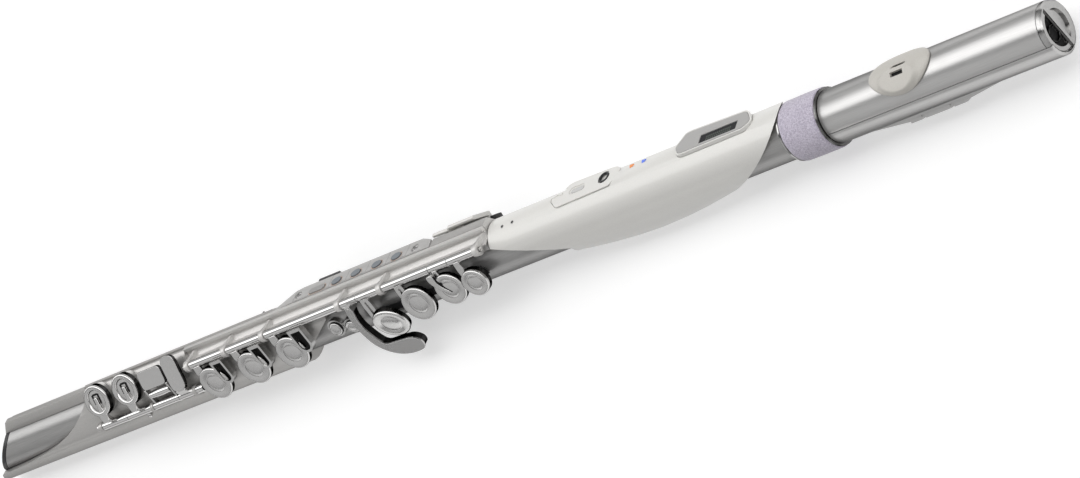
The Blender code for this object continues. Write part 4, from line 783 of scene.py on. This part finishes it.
def make_foot_cups():
    rest = FOOT_SEAT_ANGLE
    back = FOOT_SEAT + GAP + 0.05
    face = back + FOOT_CUP_THICKNESS
    radius = 8.55
    bowl = 5.9
    for number, (x, span) in enumerate(zip(FOOT_CUP_PLACES, FOOT_CUP_SPANS), start=1):
        node = "foot_cup_%d" % number
        body = node + "_body"
        centre = (x, 0, FOOT_CUP_SHIFT)
        profile = [(back + 2.2, 0), (back + 2.2, radius), (face - 0.8, radius), (face - 0.3, radius - 0.15),
                   (face, radius - 0.6), (face, bowl + 0.9), (face - 0.15, bowl + 0.35), (face - 0.6, bowl),
                   (face - 1.3, bowl - 0.3), (face - 1.4, bowl - 1.2), (face - 1.3, 0)]
        cup = piece(node + "_rim", leaned(turned(profile, centre, "f"), rest), "key_silver", body, turn=FOOT_TURN,
                    smooth=50)
        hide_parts(node)
        # The cup's side, painted near-black as a dark reflection
        wall = [(back, radius - 1.5), (back, radius - 0.5), (back + 0.4, radius + 0.01), (back + 3.1, radius + 0.01),
                (back + 3.1, radius - 1.5)]
        wall = turned(wall, centre, "f", closed=True)
        piece(node + "_wall", leaned(wall, rest), "painted_dark_reflection_and_shade", body, turn=FOOT_TURN)
        # The slots are black marks on the bowl, painted shade standing in for openings
        slots = [(x - 2.6, x - 1.5, 3.0, 8.2), (x + 1.5, x + 2.6, 3.0, 8.2), (x - 1.7, x + 1.7, 7.6, 8.6)]
        marks = [box((a, b), (face - 1.45, face - 1.22), (c, d)) for a, b, c, d in slots]
        piece(node + "_slots", leaned(gathered(*marks), rest), "painted_shade_black", body, turn=FOOT_TURN)
        low = FOOT_CUP_SHIFT - radius
        stem = [(x - 1.1, 6.6), (x - 1.2, 1.0), (x - 2.3, low + 1.2), (x - 3.3, low + 0.6), (x - 1.9, low - 3.6),
                (x + 1.9, low - 3.6), (x + 3.3, low + 0.6), (x + 2.3, low + 1.2), (x + 1.2, 1.0), (x + 1.1, 6.6)]
        stem = leaned(prism(stem, "f", face - 1.4, face - 0.15), rest)
        foot = bar(FOOT_ROD, off_axis(rest, face - 1.1, low + 0.4), 2.0, (x - 1.85, x + 1.85))
        piece(node + "_arm", gathered(stem, foot), "key_silver", body, bevel=0.35, turn=FOOT_TURN)
        piece(node + "_tube", key_tube([span], FOOT_ROD), "chrome_fittings", body, turn=FOOT_TURN)


def make_foot_touches():
    rest = FOOT_SEAT_ANGLE
    low = FOOT_SEAT + FOOT_TOUCH_RISE
    top = low + 1.7
    left, right = -258.6, -241.1
    d_outline = [(left, 0.2), (right, 0.2), (right, 10.3), (left, 10.3)]
    d_outline = rounded(d_outline, 2.4)
    d_top = rounded([(left + 0.1, 0.4), (right - 0.4, 0.4), (right - 0.4, 10.2), (left + 0.1, 10.2)], 2.6)
    touch = piece("foot_touch_face", leaned(prism(d_top, "f", top - 0.7, top), rest), "key_silver", "foot_touch_body",
                  bevel=0.3, turn=FOOT_TURN)
    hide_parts("foot_touch")
    # The side under the touch's face is painted near-black as a dark reflection
    piece("foot_touch_painted_dark_side", leaned(prism(d_outline, "f", low, top - 0.6), rest), "painted_dark_reflection_and_shade", "foot_touch_body",
          bevel=0.2, turn=FOOT_TURN)
    arms = [bar(FOOT_ROD, off_axis(rest, low + 0.7, 1.0), 2.6, x_range)
            for x_range in ((left, left + 1.4), (right - 1.1, right))]
    roller = off_axis(rest, low - 0.3, -2.9)
    arms.append(cylinder((left + 0.4, right - 0.4), 0.8, (0, *roller), steps=24))
    piece("foot_touch_arms", gathered(*arms), "key_silver", "foot_touch_body", bevel=0.25, turn=FOOT_TURN)
    piece("foot_touch_tube", key_tube([(left - 1.7, right + 0.1)], FOOT_ROD), "chrome_fittings", "foot_touch_body",
          turn=FOOT_TURN)
    start, end = left + 1.8, right - 1.4
    belly, waist = 2.2, 1.8
    profile = [(start, 1.1), (start, waist - 0.25), (start + 0.25, waist)]
    count = 9
    for i in range(count + 1):
        share = i / count
        profile.append((start + 0.4 + (end - start - 0.8) * share, waist + (belly - waist) * math.sin(math.pi * share)))
    profile += [(end - 0.25, waist), (end, waist - 0.25), (end, 1.1)]
    barrel = turned(profile, (0, *roller), steps=48, closed=True)
    barrel = piece("roller_barrel", barrel, "chrome_fittings", "roller_body", turn=FOOT_TURN, smooth=40)
    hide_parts("roller")
    left, right = -239.5, -229.0
    outline = rounded([(left, -6.0), (right, -6.0), (right, 13.0), (left, 13.0)], 5.0, 6)
    face = rounded([(left, -6.0), (right - 0.5, -6.0), (right - 0.5, 13.0), (left, 13.0)], 5.0, 6)
    tall = piece("tall_touch_face", leaned(prism(face, "f", top - 0.7, top), rest), "key_silver", "tall_touch_body",
                 bevel=0.3, turn=FOOT_TURN)
    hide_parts("tall_touch")
    # The side under the touch's face is painted near-black as a dark reflection
    piece("tall_touch_painted_dark_side", leaned(prism(outline, "f", low, top - 0.6), rest), "painted_dark_reflection_and_shade", "tall_touch_body",
          bevel=0.2, turn=FOOT_TURN)
    arm = bar(FOOT_ROD, off_axis(rest, low + 0.8, -5.2), 2.4, (left + 1.0, right - 2.5))
    piece("tall_touch_arm", arm, "key_silver", "tall_touch_body", bevel=0.3, turn=FOOT_TURN)
    piece("tall_touch_tube", key_tube([(left - 1.2, right - 1.2)], FOOT_ROD), "chrome_fittings", "tall_touch_body",
          turn=FOOT_TURN)


def wavy(mesh, reach, scale):
    """Moves a mesh's points along their normals by a gentle noise, as cloth lies."""
    normals = [vertex.normal.copy() for vertex in mesh.vertices]
    for vertex, normal in zip(mesh.vertices, normals):
        vertex.co += normal * noise.noise(vertex.co / MM / scale) * reach * MM


def make_sleeve():
    """The cloth wrap over the joint: soft, full and rounded at both ends."""
    start, end = SLEEVE_START, SLEEVE_END
    inner = BORE_RADIUS + 0.1
    edge = 0.95
    profile = [(start + edge, inner)]
    profile += arc((start + edge, SLEEVE_RADIUS - edge), edge, 180, 90, 7)
    count = 30
    first, last = start + edge, end - edge
    for i in range(1, count):
        share = i / count
        profile.append((first + (last - first) * share, SLEEVE_RADIUS + 0.12 * math.sin(math.pi * share)))
    profile += arc((end - edge, SLEEVE_RADIUS - edge), edge, 90, 0, 7)
    profile += [(end - edge, inner)]
    shape = turned(profile, (0, 0, 0), steps=160, closed=True)
    wavy(shape.data, 0.12, 5.0)
    wrap = piece("joint_sleeve_wrap", shape, "sleeve_fabric", smooth=60)
    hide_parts("joint_sleeve")


def lip_height(x, tangent):
    """How far the lip plate stands above its inner face, with its rounded rim and its saddle."""
    across = (x - LIP_X) / LIP_HALF[0]
    around = tangent / LIP_HALF[1]
    reach = min(1.0, math.hypot(across, around))
    height = LIP_THICKNESS * (1 - reach ** 10) ** 0.5
    saddle = math.hypot((x - LIP_X) / 8.5, (tangent + 4.9) / 4.6)
    if saddle < 1:
        height += SADDLE_RISE * (0.25 + 0.75 * saddle ** 2)
    elif saddle < 1.35:
        fall = (saddle - 1) / 0.35
        height += SADDLE_RISE * (1 - fall * fall * (3 - 2 * fall))
    return max(height, 0.15)


def make_lip_plate():
    inner = HEAD_RADIUS + GAP
    rings_count = 40
    around_count = 96
    work = bmesh.new()
    layers = []
    for upper in (True, False):
        rows = []
        for i in range(1, rings_count + 1):
            share = math.sin(math.pi / 2 * i / rings_count)
            row = []
            for k in range(around_count):
                turn = 2 * math.pi * k / around_count
                x = LIP_X + LIP_HALF[0] * share * math.cos(turn)
                tangent = LIP_HALF[1] * share * math.sin(turn)
                radius = inner + (lip_height(x, tangent) if upper else 0.0)
                lean = math.degrees(math.asin(tangent / (inner + LIP_THICKNESS)))
                row.append(work.verts.new(place(x, *off_axis(LIP_ANGLE + lean, radius))))
            rows.append(row)
        layers.append(rows)
    top_middle = work.verts.new(place(LIP_X, *off_axis(LIP_ANGLE, inner + lip_height(LIP_X, 0))))
    low_middle = work.verts.new(place(LIP_X, *off_axis(LIP_ANGLE, inner)))
    for rows, middle in zip(layers, (top_middle, low_middle)):
        for k in range(around_count):
            after = (k + 1) % around_count
            work.faces.new((middle, rows[0][k], rows[0][after]))
            for near, far in zip(rows, rows[1:]):
                work.faces.new((near[k], near[after], far[after], far[k]))
    for k in range(around_count):
        after = (k + 1) % around_count
        work.faces.new((layers[0][-1][k], layers[0][-1][after], layers[1][-1][after], layers[1][-1][k]))
    mesh = bpy.data.meshes.new("lip")
    work.to_mesh(mesh)
    work.free()
    finish_mesh(mesh)
    shape = linked(mesh)
    slots = []
    for angle, shift in ((LIP_ANGLE + 1.5, 0.3), (LIP_ANGLE - 12.5, -0.5)):
        slot = box((LIP_X - 2.7 + shift, LIP_X + 4.0 + shift), (HEAD_RADIUS - 2, REACH), (-1.15, 0.95))
        slots.append(leaned(slot, angle))
    plate = piece("lip_plate_shell", cut(shape, *slots), "warm_grey", "head", smooth=40)
    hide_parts("lip_plate")
    # A black floor under the two slots, painted shade inside them
    floor = ring((LIP_X - 4, LIP_X + 6), inner + 1.0, HEAD_RADIUS + 0.02)
    keep = leaned(box((LIP_X - 3.4, LIP_X + 4.6), (2, REACH), (-4.7, 1.9)), LIP_ANGLE)
    piece("lip_plate_slot_shade", combined(floor, keep, "INTERSECT"), "painted_shade_black", "head")


CASING_WALL = 1.4
CASING_HALF_WIDTH = BORE_RADIUS + CASING_WALL
CASING_CROWN = BORE_RADIUS + 2.9
CASING_BOTTOM = BORE_RADIUS + 4.8
LID_SEAT = BORE_RADIUS + 1.7
PORT_OUTLINE = [(30.1, 5.0), (25.6, -0.2), (25.5, -2.0), (28.5, -4.2), (32.1, -3.1), (33.9, -6.7), (37.3, -7.8),
                (62.2, -7.1), (65.6, -6.4), (68.3, -4.1), (64.4, 2.3), (63.2, 4.2)]
POD_OUTLINE = [(103.7, 0.9), (102.9, -1.2), (104.1, -3.2), (107.6, -8.7), (111.1, -9.0), (143.1, -7.5),
               (145.1, -6.6), (147.2, -4.0), (149.2, 0.4), (148.1, 2.3), (144.7, 4.5), (108.0, 4.7), (105.9, 3.9)]
SCREEN_X = (118.7, 140.3)
SCREEN_F = (-2.4, 2.3)
USB_CENTRE = (41.4, -2.1)
USB_HALF = (4.15, 1.35)
JACK_CENTRE = (58.0, -2.7)


def oval_radius(turn, inset=0.0):
    """How far the casing's oval, drawn in by inset, lies from the tube's axis, on its upper side."""
    across = abs(math.cos(turn)) / (CASING_HALF_WIDTH - inset)
    up = abs(math.sin(turn)) / (CASING_CROWN - inset)
    return (across ** 2 + up ** 2) ** -0.5


def casing_height(f, outward=0.0):
    """The height of the white casing's crown at f."""
    share = f / (CASING_HALF_WIDTH + outward)
    return (CASING_CROWN + outward) * math.sqrt(1 - share * share)


def lid(outline, face, seat=LID_SEAT, sink=0.0):
    """A lid on the plane of the lids, cut to the crown of the casing underneath."""
    x_range = (min(x for x, f in outline) - 5, max(x for x, f in outline) + 5)
    turns = [2 * math.pi * i / 48 for i in range(48)]
    section = [(oval_radius(turn, -GAP + sink) * math.cos(turn), oval_radius(turn, -GAP + sink) * math.sin(turn))
               for turn in turns]
    above = [(x_range[0] - 1, -REACH), (x_range[1] + 1, -REACH), (x_range[1] + 1, REACH), (x_range[0] - 1, REACH)]
    under = cut(prism(section, "x", *x_range), on_lid(prism(above, "h", seat + GAP, REACH)))
    return cut(on_lid(prism(outline, "h", 0.0, face)), under)


def make_display():
    """The white boss with its inset grey face and the dark display window."""
    boss = rounded(POD_OUTLINE, 1.2)
    inset = rounded(grown(POD_OUTLINE, -0.75), 1.1)
    pocket = prism(inset, "h", POD_FACE - 0.5, REACH)
    shape = cut(lid(boss, POD_FACE - 0.12), on_lid(pocket))
    boss = piece("display_pod_boss", shape, "white_shell", bevel=0.3)
    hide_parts("display_pod")
    face = prism(rounded(grown(POD_OUTLINE, -0.9), 1.1), "h", POD_FACE - 1.0, POD_FACE)
    window = box((SCREEN_X[0] - 0.2, SCREEN_X[1] + 0.2), (SCREEN_F[0] - 0.2, SCREEN_F[1] + 0.2), (POD_FACE - 0.9, REACH))
    piece("display_pod_face", on_lid(cut(face, window)), "pod_grey", bevel=0.15)
    # A black ring under the gap between the face and the boss, painted shade in the gap
    line = prism(rounded(grown(POD_OUTLINE, -0.72), 1.1), "h", POD_FACE - 0.9, POD_FACE - 0.45)
    piece("display_pod_gap_shade", on_lid(line), "painted_shade_black")
    glass = box(SCREEN_X, SCREEN_F, (POD_FACE - 0.7, POD_FACE - 0.25))
    glass = piece("display_window", on_lid(glass), "screen_glass", bevel=0.1)
    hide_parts("display_screen")
    cells = []
    pitch = 1.25
    for column in range(12):
        for row in range(2):
            x = SCREEN_X[0] + 3.6 + column * pitch
            f = -0.85 + row * 1.5
            cells.append(box((x, x + pitch * 0.72), (f, f + 1.1), (POD_FACE - 0.26, POD_FACE - 0.235)))
    piece("display_cells", on_lid(gathered(*cells)), "screen_cell")


def make_ports():
    """The port panel with its raised edge, a sunken socket and the round jack."""
    outline = rounded(PORT_OUTLINE, 1.3)
    shape = lid(outline, PORT_FACE - 0.05)
    usb_x = (USB_CENTRE[0] - USB_HALF[0], USB_CENTRE[0] + USB_HALF[0])
    hole = slot_outline(usb_x, USB_CENTRE[1], USB_HALF[1])
    dish = slot_outline((usb_x[0] - 0.9, usb_x[1] + 0.9), USB_CENTRE[1], USB_HALF[1] + 0.9)
    recess = [(26.4, -1.9), (28.6, -3.2), (31.2, -2.2), (33.0, -5.4), (34.4, -5.6), (32.4, -1.2), (28.6, -1.9), (26.9, -1.2)]
    shape = cut(shape, on_lid(prism(dish, "h", PORT_FACE - 0.45, REACH)), on_lid(prism(hole, "h", 0, REACH)),
                on_lid(cylinder((0, REACH), 3.4, (*JACK_CENTRE, 0), "h", 40)))
    shape = cut(shape, on_lid(prism(rounded(recess, 0.5), "h", PORT_FACE - 0.35, REACH)))
    panel = piece("port_panel_lid", shape, "white_shell", bevel=0.25)
    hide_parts("port_panel")
    floor = LID_SEAT + GAP
    shell = cut(prism(grown(hole, -0.15), "h", floor, PORT_FACE - 0.4), prism(grown(hole, -0.5), "h", floor + 0.2, REACH))
    tongue = box((usb_x[0] + 1.6, usb_x[1] - 1.6), (USB_CENTRE[1] - 0.35, USB_CENTRE[1] + 0.35), (floor, PORT_FACE - 0.9))
    usb = piece("usb_port_shell", on_lid(shell), "chrome_fittings")
    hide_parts("usb_port")
    # The socket's inside is filled with black, painted shade in the hollow
    hollow = prism(grown(hole, -0.45), "h", floor + 0.1, PORT_FACE - 0.62)
    piece("usb_port_hollow_shade", on_lid(hollow), "painted_shade_black")
    piece("usb_port_tongue", on_lid(tongue), "black_plastic")
    rim = 0.5
    profile = ((floor, 1.75), (floor, 3.1), (PORT_FACE, 3.1), (PORT_FACE + 0.2, 2.95), (PORT_FACE + 0.3, 3.1 - rim),
               (PORT_FACE + 0.2, 2.3), (PORT_FACE - 0.3, 2.1), (PORT_FACE - 0.4, 1.75))
    jack = piece("headphone_jack_ring", on_lid(turned(profile, (*JACK_CENTRE, 0), "h", 48, closed=True)), "black_plastic",
                 smooth=45)
    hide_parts("headphone_jack")
    contact = ((floor, 1.4), (floor, 1.8), (PORT_FACE - 0.5, 1.8), (PORT_FACE - 0.5, 1.4))
    piece("headphone_jack_contact", on_lid(turned(contact, (*JACK_CENTRE, 0), "h", 40, closed=True)), "chrome_fittings")


def make_casing_details():
    """The lamps' small windows and the two pin holes with their rims."""
    for name, x, look in (("lamp_orange", 75.5, "orange_lamp"), ("lamp_blue", 82.9, "blue_lamp")):
        window = [(x - 1.5, -2.6), (x + 1.3, -2.4), (x + 0.5, -0.4), (x - 0.6, -0.2)]
        top = casing_height(-1.4) + 0.08
        flag = piece(name + "_window", prism(rounded(window, 0.3), "h", top - 0.8, top), look, bevel=0.1)
        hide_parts(name)
    holes = []
    rims = []
    for x, f in ((-5.1, 3.9), (1.4, 3.7)):
        top = casing_height(f) + 0.02
        angle = 90 - math.degrees(math.atan2(f, top))
        radius = math.hypot(f, top)
        holes.append(leaned(cylinder((radius - 1.0, radius + 0.03), 0.62, (x, 0, 0), "f", 24), angle))
        rims.append(leaned(turned(((radius - 1, 0.62), (radius - 1, 0.9), (radius + 0.05, 0.9), (radius + 0.07, 0.66),
                                   (radius + 0.02, 0.62)), (x, 0, 0), "f", 24, closed=True), angle))
    # The holes are black plugs, painted shade in them
    piece("pin_hole_shade", gathered(*holes), "painted_shade_black")
    piece("pin_hole_rims", gathered(*rims), "pod_grey")


def make_end_cap():
    """Finer rings in the well of the end cap, and its floor; the floor, the ring and the groove are painted black as
    the shade in the well.
    """
    well = END_FACE - 2.0
    floor = prism(arc((0, 0), 8.15, -84, 84, 24), "x", well, well + 0.05)
    piece("end_cap_well_shade", floor, "painted_shade_black", "head")
    # The ring in the well is near-black, painted shade in the well
    inner = turned(((well, 3.2), (well, 4.0), (well + 0.9, 4.0), (well + 1.1, 3.8), (well + 1.1, 3.4), (well + 0.9, 3.2)),
                   (0, 3.4, 0), steps=40, closed=True)
    piece("end_cap_well_ring", combined(inner, prism([(0.3, -9), (12, -9), (12, 9), (0.3, 9)], "x", 290, 310), "INTERSECT"),
          "painted_dark_reflection_and_shade", "head")
    crown = END_FACE - 0.2
    dome = turned([(END_FACE - 0.99, 0), (END_FACE - 0.97, 7.9)] + [
        (crown - 0.75 * share ** 2, 7.4 * share) for share in (1, 0.85, 0.7, 0.5, 0.3, 0.12)] + [(crown, 0)], (0, 0, 0))
    half = prism([(-9, -9), (-1.75, -9), (-1.75, 9), (-9, 9)], "x", 290, 310)
    piece("end_cap_dome", combined(dome, half, "INTERSECT"), "cap_metal", "head", smooth=50)
    ring_at = END_FACE - END_STEP
    groove = ring((ring_at - 0.1, ring_at + 0.03), HEAD_RADIUS - 1.75, HEAD_RADIUS - 2.0)
    near = prism([(0.9, -13), (13, -13), (13, 13), (0.9, 13)], "x", 290, 310)
    piece("end_cap_groove_shade", combined(groove, near, "INTERSECT"), "painted_shade_black", "head")


def make_rail():
    """Black seats under the left-hand keys, as far as they show between the keys: painted shade, standing in for the
    shadow on the tube under the keys.
    """
    shapes = [box((-98, -24), (BORE_RADIUS, BORE_RADIUS + 0.7), (-2.0, 2.0))]
    for x in (-67.1, -44.7, -28.6):
        shapes.append(turned(((BORE_RADIUS - 0.2, 0), (BORE_RADIUS - 0.2, 4.0), (BORE_RADIUS + 1.0, 4.0),
                              (BORE_RADIUS + 1.2, 3.8), (BORE_RADIUS + 1.2, 0)), (x, 0, 0), "f", 40))
    rail = piece("key_rail_shade_strip", gathered(*shapes), "black_plastic", bevel=0.2)
    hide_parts("key_rail")


def make_trill_buttons():
    """Two round touches with a raised rim and a low dome, each in its cup."""
    radius = 3.5
    top = BORE_RADIUS + 3.0
    foot = BORE_RADIUS + 1.6
    for number, (x, angle) in enumerate(((-125.6, 6.6), (-115.7, -2.0)), start=1):
        node = "trill_button_%d" % number
        profile = ((foot, 0), (foot, radius), (top - 0.4, radius), (top - 0.1, radius - 0.15), (top, radius - 0.5),
                   (top - 0.25, radius - 0.85), (top - 0.3, radius - 1.2), (top - 0.15, radius - 1.8), (top, 0))
        shape = leaned(turned(profile, (x, 0, 0), "f", 48), angle)
        button = piece(node + "_cap", shape, "key_silver", node + "_body", smooth=50)
        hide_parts(node)
        shadow = turned(((foot, radius + 0.05), (foot, radius + 0.28), (foot + 0.7, radius + 0.28),
                         (foot + 0.7, radius + 0.05)), (x, 0, 0), "f", 48, closed=True)
        piece(node + "_shadow_ring", leaned(shadow, angle), "painted_shade_black")


def make_buttons():
    """The rubber buttons of the control panel: soft ovals with a thin rim round each."""
    middle = -0.1
    shapes = [("panel_button_%d" % number, oval_outline((x, middle), (3.2, 2.2)), "panel_button_%d_body" % number)
              for number, x in enumerate((-116.4, -102.6, -88.0, -74.4), start=1)]
    shapes.append(("panel_bar_button", slot_outline((-135.6, -124.6), middle + 0.3, 1.8), "bar_button_body"))
    rims = []
    for node, outline, body in shapes:
        cap = prism(outline, "h", PANEL_TOP - 1.6, PANEL_TOP + 0.6)
        look = "bar_grey" if node == "panel_bar_button" else "button_blue_grey"
        cap = piece(node + "_cap", cap, look, body, bevel=0.5)
        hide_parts(node)
        rim = cut(prism(grown(outline, 0.62), "h", PANEL_TOP - 0.3, PANEL_TOP + 0.07),
                  prism(grown(outline, 0.28), "h", PANEL_TOP - 1, PANEL_TOP + 1))
        rims.append(rim)
    piece("panel_button_rims", gathered(*rims), "rim_copper")
    lines = []
    for x in (-147.2, -121.6, -109.4, -95.2, -81.2, -67.6):
        lines.append(box((x, x + 0.16), (-5.6, 2.3), (PANEL_TOP - 0.2, PANEL_TOP + 0.02)))
    lines.append(box((-147.2, -57.0), (2.15, 2.3), (PANEL_TOP - 0.2, PANEL_TOP + 0.02)))
    piece("panel_lines", gathered(*lines), "seam_grey")
    # A black dot, painted shade in the pin hole
    dot = cylinder((DECK_TOP - 0.4, DECK_TOP + 0.02), 0.55, (-169.7, 0.4, 0), "h", 20)
    piece("deck_pin_hole_shade", dot, "painted_shade_black")


LOOKS = make_materials()
make_camera()
make_room()
dress_frame()
make_right_keys()
make_left_keys()
make_strap()
make_lever()
make_foot_cups()
make_foot_touches()
make_sleeve()
make_lip_plate()
make_display()
make_ports()
make_casing_details()
make_end_cap()
make_rail()
make_trill_buttons()
make_buttons()
